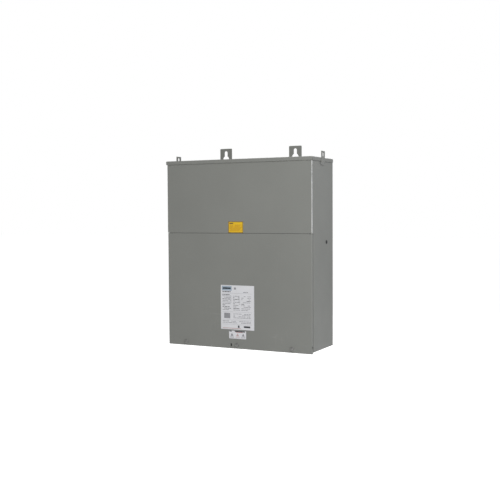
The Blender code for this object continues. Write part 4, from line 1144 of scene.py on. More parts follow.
def makeArcChute(side):
    low, high = nodeBox(f"arc_chute_{side}")
    armLow, armHigh = nodeBox(f"contact_arm_{side}")
    plan = arcPlan
    middle = (armLow.x + armHigh.x) / 2
    cheek = plan["cheekThick"]
    plates = bmesh.new()
    slats = bmesh.new()
    count = plan["platesPerPole"]
    pitch = (high.z - low.z - plan["plateThick"] - 0.006) / (count - 1)
    left, right = low.x + cheek * 0.4, high.x - cheek * 0.4
    front, back = low.y + 0.0004, high.y
    for i in range(count):
        z = low.z + 0.003 + i * pitch
        outline = [(left, front), (right, front), (right, back), (middle + plan["notchHalf"], back),
                   (middle + 0.003, back - plan["notchDepth"]), (middle - 0.003, back - plan["notchDepth"]),
                   (middle - plan["notchHalf"], back), (left, back)]
        addPrism(plates, outline, "z", z, z + plan["plateThick"])
        if i:
            inset = low.y + plan["slatInset"]
            addBlock(slats, (left, inset, z - pitch + plan["plateThick"]), (right, inset + 0.0012, z))
    stack = finishPiece(f"arcPlates.{side}", plates, "enclosure", "arc_plate")
    softenEdges(stack, 0.00025)
    for x in (low.x, high.x - cheek):
        outline = [(low.y + 0.0030, low.z), (high.y, low.z), (high.y, high.z), (low.y + 0.0030, high.z),
                   (low.y, high.z - 0.003), (low.y, low.z + 0.003)]
        addPrism(slats, outline, "x", x, x + cheek)
    for z in (low.z, high.z - cheek):
        addBlock(slats, (low.x + cheek, low.y + 0.002, z), (high.x - cheek, high.y, z + cheek))
    cheeks = finishPiece(f"arcCheeks.{side}", slats, "enclosure", "red_fibre")
    softenEdges(cheeks, 0.0002)
    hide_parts(f"arc_chute_{side}")


lugPlan = {
    "screwRadius": 0.0051,
    "screwInset": 0.0016,
    "socketAcross": 0.0050,
    "socketDepth": 0.0045,
}


def makeLugScrews():
    plan = lugPlan
    for source in ("utility", "generator", "load"):
        for side in ("left", "right"):
            low, high = nodeBox(f"{source}_lug_{side}")
            centre = (low + high) / 2
            front, stop = low.y + plan["screwInset"], centre.y - 0.0035
            radius = plan["screwRadius"]
            builder = bmesh.new()
            # socket set screw: threaded flank, rounded rim, hexagon socket sunk in its face
            profile = [(0, stop), (radius * 0.6, stop), (radius * 0.72, stop - 0.0012)]
            along = stop - 0.0016
            while along > front + 0.0016:
                profile += [(radius, along), (radius - 0.00045, along - 0.0005)]
                along -= 0.001
            profile += [(radius, front + 0.0008), (radius - 0.0008, front), (0, front)]
            profile = [(r, -distance) for r, distance in profile]
            addTurned(builder, [(r, -distance) for r, distance in profile], "y", (centre.x, 0, centre.z), 24)
            screw = finishPiece(f"lugScrew.{source}.{side}", builder, "enclosure", "steel")

            def socket(cutter):
                turn = random.uniform(0, 1.0)
                across = plan["socketAcross"] / 2
                outline = [(centre.x + across * math.cos(turn + math.tau * i / 6),
                            centre.z + across * math.sin(turn + math.tau * i / 6)) for i in range(6)]
                addPrism(cutter, outline, "y", front - slotCutDepth, front + plan["socketDepth"])

            cutAway(screw, socket)
            screw.data.set_sharp_from_angle(angle=math.radians(35))


barPlan = {
    "screwRadius": 0.0042,
    "screwStands": 0.0012,
    "slotWide": 0.0012,
    "mountRadius": 0.0045,
    "mountHeight": 0.0026,
}


def makeBarScrews():
    plan = barPlan
    for name, count in (("neutral_bar", 4), ("ground_bar", 4)):
        low, high = nodeBox(name)
        x = (low.x + high.x) / 2
        for i in range(count):
            z = low.z + (high.z - low.z) * (i + 0.5) / count
            builder = bmesh.new()
            radius = plan["screwRadius"] * (1.0 if name == "neutral_bar" else 0.8)
            stand = plan["screwStands"]
            profile = [(0, 0.0), (radius, 0.0), (radius, stand - 0.0003), (radius - 0.0004, stand),
                       (0, stand)]
            addTurned(builder, [(r, -along) for r, along in profile], "y", (x, low.y - 0.00002, z), 20)
            screw = finishPiece(f"barScrew.{name}.{i + 1}", builder, "enclosure", "steel")
            turn = Matrix.Rotation(random.uniform(0, 3.0), 4, "Y")

            def slot(cutter):
                half = plan["slotWide"] / 2
                addBlock(cutter, (-radius * 1.2, -stand - slotCutDepth, -half),
                         (radius * 1.2, -stand * 0.35, half))
                for vert in cutter.verts:
                    vert.co = Vector((x, low.y, z)) + turn @ vert.co

            cutAway(screw, slot)
            screw.data.set_sharp_from_angle(angle=math.radians(35))
        mounts = bmesh.new()
        for z in (low.z + 0.006, high.z - 0.006):
            addPanHead(mounts, (x, low.y - 0.00002, z), plan["mountRadius"], plan["mountHeight"])
        finishPiece(f"barMounts.{name}", mounts, "enclosure", "zinc_steel")


panelPlan = {
    "inset": 0.014,
    "nutRadius": 0.0062,
    "nutHeight": 0.0052,
    "washerRadius": 0.0095,
    "washerThick": 0.0014,
    "studRadius": 0.0030,
    "studStands": 0.0042,
}


def makePanelNuts():
    # flange nuts on the studs that hold the inner plate
    low, high = nodeBox("backplate")
    plan = panelPlan
    face = low.y - 0.00002
    spots = [(x, z) for x in (low.x + plan["inset"], high.x - plan["inset"])
             for z in (low.z + plan["inset"], high.z - plan["inset"], (low.z + high.z) / 2)]
    for index, (x, z) in enumerate(spots):
        builder = bmesh.new()
        addHexHead(builder, (x, face, z), "y", plan["nutRadius"], plan["nutHeight"], plan["washerRadius"],
                   plan["washerThick"], index * 0.7)
        stud = [(0, plan["nutHeight"] * 0.8), (plan["studRadius"], plan["nutHeight"] * 0.8)]
        along = plan["nutHeight"]
        stop = plan["nutHeight"] + plan["studStands"]
        while along < stop - 0.0008:
            stud += [(plan["studRadius"] - 0.0003, along), (plan["studRadius"], along + 0.0004)]
            along += 0.0008
        stud += [(plan["studRadius"] - 0.0006, stop), (0, stop)]
        addTurned(builder, [(r, -distance) for r, distance in stud], "y", (x, face, z), 16)
        finishPiece(f"panelNut.{index + 1}", builder, "enclosure", "zinc_steel", 30.0)


basePlan = {
    "screwInsetX": 0.0105,
    "screwInsetZ": 0.0065,
    "headRadius": 0.0042,
    "headHeight": 0.0030,
    "ribs": 5,
}


def makeBaseTrim():
    # mounting screws in the moulding's corners, and raised ribs between its columns of terminals
    low, high = nodeBox("contactor_base")
    lugLow, lugHigh = nodeBox("generator_lug_left")
    plan = basePlan
    face = nodeBox("load_bus_left")[1].y + 0.0003
    screws = bmesh.new()
    left = low.x + plan["screwInsetX"] - 0.004
    spots = [(x, z) for x in (left, high.x - plan["screwInsetX"] + 0.004)
             for z in (low.z + plan["screwInsetZ"], high.z - plan["screwInsetZ"])]
    for x, z in spots:
        addPanHead(screws, (x, face - 0.00002, z), plan["headRadius"], plan["headHeight"])
    heads = finishPiece("baseScrews", screws, "enclosure", "zinc_steel")

    def slots(cutter):
        for x, z in spots:
            addCrossSlot(cutter, (x, z), 0.0026, 0.0009, face - plan["headHeight"], 0.0014)

    cutAway(heads, slots)
    heads.data.set_sharp_from_angle(angle=math.radians(35))
    ribs = bmesh.new()
    columns = [nodeBox(f"{source}_lug_{side}") for side in ("left", "right") for source in ("generator",
                                                                                            "load")]
    columns.sort(key=lambda corners: corners[0].x)
    for first, following in zip(columns, columns[1:]):
        x = (first[1].x + following[0].x) / 2
        half = min(0.0014, (following[0].x - first[1].x) / 2 - 0.0006)
        addBlock(ribs, (x - half, face - 0.016, lugLow.z - 0.002),
                 (x + half, face + 0.001, lugHigh.z + 0.016), 0.0006)
    finishPiece("baseRibs", ribs, "enclosure", "moulding")


tipPlan = {
    "radius": 0.00508,
    "thick": 0.0010,
}


def makeContactTips():
    # silver faces on the moving arms, square to the thrown arm
    shaftLow, shaftHigh = nodeBox("transfer_shaft")
    axisY, axisZ = (shaftLow.y + shaftHigh.y) / 2, (shaftLow.z + shaftHigh.z) / 2
    throw = Matrix.Rotation(-math.radians(12.0), 4, "X")
    for side in ("left", "right"):
        low, high = nodeBox(f"contact_arm_{side}")
        x = (low.x + high.x) / 2
        builder = bmesh.new()
        radius, thick = tipPlan["radius"], tipPlan["thick"]
        for sign in (1, -1):
            face = 0.0045 + 0.00002
            profile = [(0, face - thick), (radius, face - thick), (radius, face - 0.0002),
                       (radius - 0.0003, face),
                       (0, face)]
            first = len(builder.verts)
            addTurned(builder, [(r, sign * along) for r, along in profile], "z", (x, -0.037, 0), 24)
            builder.verts.ensure_lookup_table()
            for vert in builder.verts[first:]:
                vert.co = Vector((0, axisY, axisZ)) + throw @ vert.co
        finishPiece(f"contactTips.{side}", builder, "transfer_shaft", "silver")


coilPlan = {
    "flange": 0.0030,
    "windingInset": 0.0022,
    "tapeTurns": 5,
    "tagWide": 0.004,
}


def makeCoil(source):
    low, high = nodeBox(f"{source}_coil")
    plan = coilPlan
    x, y = (low.x + high.x) / 2, (low.y + high.y) / 2
    outer = (high.x - low.x) / 2
    bore = 0.0077
    flange = plan["flange"]
    bobbin = bmesh.new()
    soft = 0.0006
    profile = [(bore, low.z), (outer - soft, low.z), (outer, low.z + soft), (outer, low.z + flange - soft),
               (outer - soft, low.z + flange), (bore + 0.0016, low.z + flange),
               (bore + 0.0016, high.z - flange),
               (outer - soft, high.z - flange), (outer, high.z - flange + soft), (outer, high.z - soft),
               (outer - soft, high.z), (bore, high.z)]
    addTurned(bobbin, profile, "z", (x, y, 0), 40)
    form = finishPiece(f"coilForm.{source}", bobbin, "enclosure", "cream_nylon")
    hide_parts(f"{source}_coil")
    # wound wire under lapped tape, each lap standing slightly proud of the one before
    winding = bmesh.new()
    radius = outer - plan["windingInset"]
    bottom, top = low.z + flange + 0.0002, high.z - flange - 0.0002
    turns = plan["tapeTurns"]
    profile = [(bore + 0.0019, bottom)]
    for i in range(turns):
        start = bottom + (top - bottom) * i / turns
        stop = bottom + (top - bottom) * (i + 1) / turns
        profile += [(radius - 0.0008, start + 0.0001), (radius - 0.0001, start + 0.0006),
                    (radius, stop - 0.0012),
                    (radius - 0.0005, stop - 0.0001)]
    profile.append((bore + 0.0019, top))
    addTurned(winding, profile, "z", (x, y, 0), 40)
    finishPiece(f"coilWinding.{source}", winding, "enclosure", "coil_tape", 50.0)
    # solder tags on the upper flange, away from the plunger
    tags = bmesh.new()
    for step in (-1, 1):
        tagX = x + step * 0.006
        addBlock(tags, (tagX - plan["tagWide"] / 2, low.y - 0.0035, high.z - flange + 0.0004),
                 (tagX + plan["tagWide"] / 2, low.y + 0.004, high.z - flange + 0.0010), 0.00015)
    finishPiece(f"coilTags.{source}", tags, "enclosure", "solder")


springPlan = {
    "wire": 0.0006,
    "turns": 7,
    "seatTurns": 1,             # closed turns at each end
    "steps": 28,                # along one turn
    "sides": 8,                 # round the wire
}


def makeSpring():
    # it stays on the frame; the real spring shortens as the plunger comes down, but this mesh keeps its
    # length
    plan = springPlan
    low, high = nodeBox("plunger_spring")
    wire = plan["wire"]
    centre = (low + high) / 2
    radius = (high.x - low.x) / 2 - wire
    bottom, top = low.z + wire, high.z - wire
    closedRise = 2.1 * wire
    openTurns = plan["turns"] - 2 * plan["seatTurns"]
    openRise = (top - bottom - 2 * plan["seatTurns"] * closedRise) / openTurns
    builder = bmesh.new()
    rings = []
    for i in range(plan["turns"] * plan["steps"] + 1):
        turn = i / plan["steps"]
        lower = min(turn, plan["seatTurns"])
        upper = max(turn - plan["seatTurns"] - openTurns, 0.0)
        height = bottom + (lower + upper) * closedRise + (turn - lower - upper) * openRise
        ring = []
        for k in range(plan["sides"]):
            around = math.tau * k / plan["sides"]
            reach = radius + wire * math.cos(around)
            ring.append(builder.verts.new((centre.x + reach * math.cos(math.tau * turn),
                                           centre.y + reach * math.sin(math.tau * turn),
                                           height + wire * math.sin(around))))
        rings.append(ring)
    for near, far in zip(rings, rings[1:]):
        for k in range(plan["sides"]):
            builder.faces.new((near[k - 1], near[k], far[k], far[k - 1]))
    builder.faces.new(rings[0])
    builder.faces.new(rings[-1])
    spring = finishPiece("plungerSpring", builder, "enclosure", "steel", 50.0)
    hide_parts("plunger_spring")
    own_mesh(spring)


wirePlan = {
    "radius": 0.00115,
    "tieGap": 0.036,
    "tieWide": 0.0025,
    "bundleX": 0.1035,
    "bundleY": -0.0225,
}


def wireCurve(name, points, finish, radius=None):
    curve = bpy.data.curves.new(name, "CURVE")
    curve.dimensions = "3D"
    curve.bevel_depth = radius or wirePlan["radius"]
    curve.bevel_resolution = 3
    curve.use_fill_caps = True
    spline = curve.splines.new("BEZIER")
    spline.bezier_points.add(len(points) - 1)
    for point, place in zip(spline.bezier_points, points):
        point.co = place
        point.handle_left_type = point.handle_right_type = "AUTO"
    spline.resolution_u = 8
    curve.materials.append(finishes[finish])
    wire = bpy.data.objects.new(name, curve)
    bpy.context.collection.objects.link(wire)
    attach(wire, "enclosure")
    return wire


def makeWires():
    # control wires from the coil tags to the board's terminals, tied to the plate in one bundle
    stripLow, stripHigh = nodeBox("terminal_strip")
    plan = wirePlan
    ways = 8
    pitch = (stripHigh.x - stripLow.x) / ways
    routes = (("utility", -1, 1, "wire_black"), ("utility", 1, 2, "wire_red"),
              ("generator", -1, 3, "wire_blue"), ("generator", 1, 4, "wire_white"))
    for index, (source, step, way, finish) in enumerate(routes):
        low, high = nodeBox(f"{source}_coil")
        x = (low.x + high.x) / 2 + step * 0.006
        z = high.z - coilPlan["flange"] + 0.0007
        start = Vector((x, low.y - 0.003, z))
        across = plan["bundleX"] + index * 0.0026
        # round the outside of the mechanism frame, clear of the hand lever's swing
        lane = Vector((across, plan["bundleY"], 0))
        outX = (stripLow.x + pitch * (way + 0.5))
        if source == "utility":
            points = [start, start + Vector((0, -0.006, 0.002)), start + Vector((0.008, -0.006, 0.010)),
                      Vector((across - 0.006, low.y + 0.010, 0.058)), Vector((across, lane.y - 0.004, 0.070)),
                      Vector((across, lane.y, 0.084)), Vector((across, lane.y, 0.112)),
                      Vector((outX, stripLow.y + 0.002, 0.124)), Vector((outX, stripLow.y + 0.004, 0.134)),
                      Vector((outX, stripLow.y + 0.007, 0.1475))]
        else:
            points = [start, start + Vector((0, -0.005, -0.001)), start + Vector((-0.004, -0.002, -0.012)),
                      Vector((x - 0.010, low.y + 0.004, low.z + 0.006)),
                      Vector((x, low.y + 0.012, low.z - 0.012)),
                      Vector((across - 0.002, lane.y - 0.004, low.z - 0.019)),
                      Vector((across, lane.y, low.z + 0.004)),
                      Vector((across, lane.y, -0.020)), Vector((across, lane.y, 0.050)),
                      Vector((across, lane.y, 0.112)), Vector((outX, stripLow.y + 0.002, 0.124)),
                      Vector((outX, stripLow.y + 0.004, 0.134)), Vector((outX, stripLow.y + 0.007, 0.1475))]
        wireCurve(f"coilWire.{source}.{'in' if step < 0 else 'out'}", points, finish)
    # ties round the bundle
    for index in range(5):
        z = -0.100 + index * plan["tieGap"]
        full = z > 0.062
        left = plan["bundleX"] + (0.0 if full else 0.0052) - plan["radius"] - 0.0004
        right = plan["bundleX"] + 3 * 0.0026 + plan["radius"] + 0.0004
        back, front = plan["bundleY"] + plan["radius"] + 0.0004, plan["bundleY"] - plan["radius"] - 0.0004
        builder = bmesh.new()
        thick = 0.0009
        for low, high in (((left - thick, front - thick), (right + thick, front)),
                          ((left - thick, back), (right + thick, back + thick)),
                          ((left - thick, front), (left, back)), ((right, front), (right + thick, back))):
            addBlock(builder, (low[0], low[1], z), (high[0], high[1], z + plan["tieWide"]))
        addBlock(builder, (right - 0.003, front - thick - 0.0022, z - 0.0006),
                 (right + 0.001, front - thick * 0.5, z + plan["tieWide"] + 0.0006), 0.0004)
        tie = finishPiece(f"wireTie.{index + 1}", builder, "enclosure", "black_plastic")
        softenEdges(tie, 0.0002)


framePlan = {
    "rivetRadius": 0.0030,
    "rivetHeight": 0.0014,
    "screwRadius": 0.0040,
    "screwHeight": 0.0026,
}


def makeFrameFixings():
    low, high = nodeBox("mechanism_frame")
    plan = framePlan
    # round-head screws through the frame's foot into the plate
    screws = bmesh.new()
    footFace = high.y - 0.0025 - 0.00002
    spots = [(high.x - 0.016, z) for z in (low.z + 0.010, high.z - 0.010)]
    for x, z in spots:
        addPanHead(screws, (x, footFace, z), plan["screwRadius"], plan["screwHeight"])
    heads = finishPiece("frameScrews", screws, "enclosure", "zinc_steel")

    def slots(cutter):
        for x, z in spots:
            addCrossSlot(cutter, (x, z), 0.0024, 0.0009, footFace - plan["screwHeight"], 0.0014)

    cutAway(heads, slots)
    heads.data.set_sharp_from_angle(angle=math.radians(35))
    # rivets that hold the coil legs to the frame's wall
    rivets = bmesh.new()
    for source in ("utility", "generator"):
        coilLow, coilHigh = nodeBox(f"{source}_coil")
        y = (coilLow.y + coilHigh.y) / 2
        for z in (coilLow.z - 0.0018, coilHigh.z + 0.0018):
            for step in (-0.008, 0.008):
                profile = [(0, 0.0), (plan["rivetRadius"], 0.0),
                           (plan["rivetRadius"] * 0.8, plan["rivetHeight"] * 0.6),
                           (plan["rivetRadius"] * 0.4, plan["rivetHeight"]), (0, plan["rivetHeight"])]
                addTurned(rivets, profile, "x", (high.x + 0.00002, y + step, z), 16)
    finishPiece("frameRivets", rivets, "enclosure", "steel")


gripPlan = {
    "ribs": 7,
    "ribStands": 0.0009,
    "nutRadius": 0.0082,
}


def makeHandleTrim():
    # ribs round the hand grip and a retaining nut on the shaft's end, both turning with the shaft
    low, high = nodeBox("handle_grip")
    shaftLow, shaftHigh = nodeBox("transfer_shaft")
    hubHigh = nodeBox("manual_handle")[1]
    axisY, axisZ = (shaftLow.y + shaftHigh.y) / 2, (shaftLow.z + shaftHigh.z) / 2
    throw = Matrix.Rotation(-math.radians(12.0), 4, "X")
    ribs = bmesh.new()
    start, length = -0.0755 + 0.003, 0.028
    stands = gripPlan["ribStands"]
    for i in range(gripPlan["ribs"]):
        y = start + length * i / (gripPlan["ribs"] - 1)
        addBlock(ribs, (low.x - stands, y, -0.0095 - stands), (high.x + stands, y + 0.0018, 0.0095 + stands),
                 0.0005)
    for vert in ribs.verts:
        vert.co = Vector((0, axisY, axisZ)) + throw @ vert.co
    finishPiece("gripRibs", ribs, "transfer_shaft", "red_plastic")
    nut = bmesh.new()
    addHexHead(nut, (hubHigh.x + 0.00002, axisY, axisZ), "x", gripPlan["nutRadius"],
               shaftHigh.x - hubHigh.x - 0.0008,
               turn=0.3)
    finishPiece("handleNut", nut, "transfer_shaft", "zinc_steel", 30.0)


boardPlan = {
    # boxes: low corner from the board's lower left, size across and up, how far they stand, finish
    "blocks": {
        "relayUtility": ((0.078, 0.088), (0.0200, 0.0155), 0.0155, "blue_nylon"),
        "relayGenerator": ((0.104, 0.088), (0.0200, 0.0155), 0.0155, "blue_nylon"),
        "relayStart": ((0.130, 0.088), (0.0200, 0.0155), 0.0155, "black_plastic"),
        "controller": ((0.020, 0.032), (0.0180, 0.0180), 0.0016, "black_plastic"),
        "driver": ((0.048, 0.034), (0.0095, 0.0064), 0.0032, "black_plastic"),
        "driverSpare": ((0.064, 0.034), (0.0095, 0.0064), 0.0032, "black_plastic"),
        "settings": ((0.082, 0.032), (0.0120, 0.0095), 0.0052, "red_plastic"),
        "crystal": ((0.048, 0.046), (0.0104, 0.0042), 0.0036, "solder"),
        "plug": ((0.110, 0.064), (0.0220, 0.0060), 0.0090, "white_plastic"),
    },
    # upright cans: centre from the board's lower left, radius, height
    "cans": ((0.0800, 0.0720, 0.0050, 0.0125), (0.0935, 0.0720, 0.0040, 0.0110),
             (0.1420, 0.0660, 0.0040, 0.0110)),
    "resistors": 9,
    "lamps": 4,
}


def makeBoardParts():
    low, high = nodeBox("control_board")
    face = low.y
    for name, ((right, up), (wide, tall), stand, finish) in boardPlan["blocks"].items():
        builder = bmesh.new()
        x, z = low.x + right, low.z + up
        addBlock(builder, (x, face - stand - 0.0003, z), (x + wide, face - 0.0003, z + tall), 0.0006)
        # moulded step round the foot and a raised pad on the face
        addBlock(builder, (x - 0.0003, face - stand * 0.18, z - 0.0003), (x + wide + 0.0003, face - 0.0002,
                                                                          z + tall + 0.0003), 0.0001)
        addBlock(builder, (x + wide * 0.14, face - stand - 0.0005, z + tall * 0.2),
                 (x + wide * 0.86, face - stand, z + tall * 0.8), 0.0001)
        finishPiece(f"board.{name}", builder, "enclosure", finish)
    legs = bmesh.new()
    for name in ("controller", "driver", "driverSpare"):
        (right, up), (wide, tall), stand, finish = boardPlan["blocks"][name]
        count = 4 if name != "controller" else 10
        for i in range(count):
            x = low.x + right + wide * (i + 0.5) / count
            for z in (low.z + up - 0.0014, low.z + up + tall):
                addBlock(legs, (x - 0.00025, face - 0.0011, z), (x + 0.00025, face - 0.0001, z + 0.0014))
    for i in range(boardPlan["resistors"]):
        x = low.x + 0.014 + i * 0.0052
        z = low.z + 0.062
        addRod(legs, 0.00030, z - 0.0052, z + 0.0052, "z", (x, face - 0.0014), sides=8)
    finishPiece("board.legs", legs, "enclosure", "solder")
    bodies = bmesh.new()
    for i in range(boardPlan["resistors"]):
        x = low.x + 0.014 + i * 0.0052
        z = low.z + 0.062
        profile = [(0, -0.0032), (0.0009, -0.0032), (0.0012, -0.0026), (0.0010, -0.0018), (0.0010, 0.0018),
                   (0.0012, 0.0026), (0.0009, 0.0032), (0, 0.0032)]
        addTurned(bodies, profile, "z", (x, face - 0.0014, z), 12)
    finishPiece("board.resistors", bodies, "enclosure", "cream_nylon")
    cans = bmesh.new()
    tops = bmesh.new()
    for right, up, radius, tall in boardPlan["cans"]:
        centre = (low.x + right, face, low.z + up)
        sleeve = [(0, 0.0002), (radius - 0.0003, 0.0002), (radius, 0.0006), (radius, 0.0014),
                  (radius - 0.0004, 0.0018),
                  (radius, 0.0024), (radius, tall - 0.0004), (radius - 0.0008, tall), (0, tall)]
        addTurned(cans, [(r, -along) for r, along in sleeve], "y", centre, 28)
        lid = [(0, tall - 0.0002), (radius * 0.80, tall - 0.0002), (radius * 0.78, tall + 0.0002),
               (0, tall + 0.0003)]
        addTurned(tops, [(r, -along) for r, along in lid], "y", centre, 28)
    finishPiece("board.cans", cans, "enclosure", "black_plastic")
    finishPiece("board.canTops", tops, "enclosure", "aluminium")
    lamps = bmesh.new()
    for i in range(boardPlan["lamps"]):
        centre = (low.x + 0.020 + i * 0.0075, face, low.z + 0.078)
        dome = [(0, 0.0002), (0.0019, 0.0002), (0.0019, 0.0010), (0.0015, 0.0011), (0.0015, 0.0034),
                (0.0011, 0.0046),
                (0, 0.0050)]
        addTurned(lamps, [(r, -along) for r, along in dome], "y", centre, 18)
    finishPiece("board.lamps", lamps, "enclosure", "terminal_green")
    screws = bmesh.new()
    for x in (low.x + 0.008, high.x - 0.008):
        for z in (low.z + 0.008, high.z - 0.008):
            addPanHead(screws, (x, face - 0.00002, z), 0.0029, 0.0020)
    finishPiece("board.screws", screws, "enclosure", "zinc_steel")
    marks = bmesh.new()
    for i in range(26):
        x = low.x + random.uniform(0.012, 0.150)
        z = low.z + random.choice((0.029, 0.053, 0.056, 0.084, 0.1085))
        long = random.uniform(0.002, 0.006)
        addBlock(marks, (x, face - 0.00006, z), (x + long, face + 0.0002, z + 0.0009))
    finishPiece("board.marks", marks, "enclosure", "ink_white")


transformerPlan = {
    "coreDeep": 0.017,
    "yoke": 0.0078,
    "limb": 0.0135,
}


def makeTransformer():
    low, high = nodeBox("transformer")
    plan = transformerPlan
    x, z = (low.x + high.x) / 2, (low.z + high.z) / 2
    middle = (low.y + high.y) / 2 + 0.001
    back, front = middle + plan["coreDeep"] / 2, middle - plan["coreDeep"] / 2
    yoke, limb = plan["yoke"], plan["limb"]
    core = bmesh.new()
    addBlock(core, (low.x, front, high.z - yoke), (high.x, back, high.z))
    addBlock(core, (low.x, front, low.z), (high.x, back, low.z + yoke))
    addBlock(core, (low.x, front, low.z + yoke), (low.x + yoke, back, high.z - yoke))
    addBlock(core, (high.x - yoke, front, low.z + yoke), (high.x, back, high.z - yoke))
    addBlock(core, (x - limb / 2, front, low.z + yoke), (x + limb / 2, back, high.z - yoke))
    body = finishPiece("transformerCore", core, "enclosure", "arc_plate")
    softenEdges(body, 0.0003)
    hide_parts("transformer")
    winding = bmesh.new()
    reach = (high.x - low.x) / 2 - yoke - 0.0008
    tall = (high.z - low.z) / 2 - yoke - 0.0030
    outline = roundedOutline((x - reach, low.y + 0.0012), (x + reach, high.y - 0.0012), 0.0065, 6)
    addPrism(winding, outline, "z", z - tall, z + tall)
    coil = finishPiece("transformerWinding", winding, "enclosure", "coil_tape", 50.0)
    softenEdges(coil, 0.0009, 3)
    cheeks = bmesh.new()
    for level in (z - tall - 0.0022, z + tall + 0.0004):
        outline = roundedOutline((x - reach - 0.0005, low.y), (x + reach + 0.0005, high.y), 0.003, 4)
        addPrism(cheeks, outline, "z", level, level + 0.0018)
    sides = finishPiece("transformerCheeks", cheeks, "enclosure", "cream_nylon")
    softenEdges(sides, 0.0003)


def makeTerminalScrews():
    low, high = nodeBox("terminal_strip")
    ways = 8
    pitch = (high.x - low.x) / ways
    screws = bmesh.new()
    spots = [(low.x + (i + 0.5) * pitch, low.z + 0.0040) for i in range(ways)]
    for x, z in spots:
        addPanHead(screws, (x, low.y - 0.00002, z), 0.0026, 0.0012)
    heads = finishPiece("terminalScrews", screws, "enclosure", "zinc_steel")

    def slots(cutter):
        for x, z in spots:
            addBlock(cutter, (x - 0.003, low.y - 0.003, z - 0.0004), (x + 0.003, low.y - 0.0005, z + 0.0004))

    cutAway(heads, slots)
    heads.data.set_sharp_from_angle(angle=math.radians(35))
    combs = bmesh.new()
    for i in range(ways + 1):
        x = low.x + i * pitch
        x = min(max(x, low.x + 0.0005), high.x - 0.0005)
        addBlock(combs, (x - 0.0005, low.y - 0.0012, low.z + 0.0004),
                 (x + 0.0005, low.y + 0.0005, high.z - 0.0004),
                 0.0002)
    finishPiece("terminalCombs", combs, "enclosure", "terminal_green")


def makeFuseTrim():
    # window plates, pull tabs and end contacts on the fuse carriers
    for number in (1, 2):
        low, high = nodeBox(f"fuse_carrier_{number}")
        wallHigh = nodeBox("fuse_base")[1]
        x = (low.x + high.x) / 2
        body = f"fuse_carrier_{number}"
        front = low.y
        plate = bmesh.new()
        outline = roundedOutline((x - 0.0065, high.z - 0.0220), (x + 0.0065, high.z - 0.0125), 0.0010)
        addPrism(plate, outline, "y", front - 0.0004, front + 0.0004)
        finishPiece(f"fuseWindow.{number}", plate, body, "white_vinyl")
        ribs = bmesh.new()
        for i in range(4):
            z = wallHigh.z - 0.0108 + i * 0.0011
            addBlock(ribs, (x - 0.0075, front - 0.0003 + i * 0.0009, z),
                     (x + 0.0075, front + 0.0008 + i * 0.0009,
                                                                       z + 0.0005), 0.0001)
        finishPiece(f"fusePull.{number}", ribs, body, "grey_plastic")
    low, high = nodeBox("fuse_base")
    clips = bmesh.new()
    for step in (0.25, 0.75):
        x = low.x + (high.x - low.x) * step
        for z in (low.z - 0.0040, high.z + 0.0002):
            addBlock(clips, (x - 0.006, high.y - 0.0036, z), (x + 0.006, high.y - 0.0024, z + 0.0038), 0.0003)
            addPanHead(clips, (x, high.y - 0.0036, z + 0.0019), 0.0026, 0.0016)
    finishPiece("fuseTerminals", clips, "enclosure", "brass")


clipPlan = {
    "wide": 0.013,
    "thick": 0.0009,
}


def makeClipNuts():
    # spring nuts on the bottom pan's front flange, one behind each cover screw
    low = nodeBox("bottom_pan")[0]
    flangeY = nodeBox("cross_rail")[0].y
    back = flangeY + sheetSize
    top = low.z + panPlan["flange"]
    plan = clipPlan
    for side, x, z in screwPlaces():
        builder = bmesh.new()
        gap = 0.0001
        for front in (flangeY - gap - plan["thick"], back + gap):
            addBlock(builder, (x - plan["wide"] / 2, front, z - 0.006),
                     (x + plan["wide"] / 2, front + plan["thick"],
                                                                      top + gap + plan["thick"]))
        addBlock(builder, (x - plan["wide"] / 2, flangeY - gap - plan["thick"], top + gap),
                 (x + plan["wide"] / 2, back + gap + plan["thick"], top + gap + plan["thick"]))
        clip = finishPiece(f"clipNut.{side}", builder, "enclosure", "dull_steel")

        def hole(cutter):
            addRod(cutter, 0.0028, flangeY - 0.006, back + 0.008, "y", (x, z))

        cutAway(clip, hole)
        clip.data.set_sharp_from_angle(angle=math.radians(35))
        softenEdges(clip, 0.0002)


weldPlan = {
    "radius": 0.0026,
    "height": 0.0003,
}


def makeWeldMarks():
    # plug welds on the lifting ears' pads
    for side, sign in (("left", -1), ("right", 1)):
        low, high = nodeBox(f"lifting_ear_{side}")
        wall = nodeBox(f"side_wall_{side}")
        y = (low.y + high.y) / 2
        padFace = (wall[1].x if sign > 0 else wall[0].x) + sign * (0.0003 + earSheet)
        marks = bmesh.new()
        for step in (-0.0075, 0.0075):
            dish = [(0, -0.0004), (weldPlan["radius"], -0.0004), (weldPlan["radius"], 0.0001),
                    (weldPlan["radius"] * 0.8, weldPlan["height"]), (weldPlan["radius"] * 0.45, 0.00008),
                    (0, 0.0)]
            addTurned(marks, [(r, sign * along) for r, along in dish], "x",
                      (padFace, y + step, low.z + 0.0042), 24)
        finishPiece(f"earWelds.{side}", marks, "enclosure", "enclosure_paint")


# plain CAD nodes keep their shape and get rounded edges, each with its radius
edgeSizes = {
    "side_wall_left": 0.0006, "side_wall_right": 0.0006, "cross_rail": 0.0005,
    "lifting_ear_left": 0.0008, "lifting_ear_right": 0.0008, "side_plug": 0.0004, "backplate": 0.0007,
    "contactor_base": 0.0008, "mechanism_frame": 0.0006, "manual_handle": 0.0005, "handle_grip": 0.0012,
    "crank": 0.0004, "rotor": 0.0008, "transfer_shaft": 0.0005, "board_tray": 0.0004, "control_board": 0.0002,
    "terminal_strip": 0.0003, "switch_block": 0.0006, "fuse_base": 0.0006,
    "fuse_carrier_1": 0.0007, "fuse_carrier_2": 0.0007, "neutral_bar": 0.0008, "neutral_insulator": 0.0010,
    "ground_bar": 0.0007, "mode_toggle": 0.0008, "test_button": 0.0006, "shaft_bushing": 0.0004,
    "utility_plunger": 0.0004, "generator_plunger": 0.0004,
}
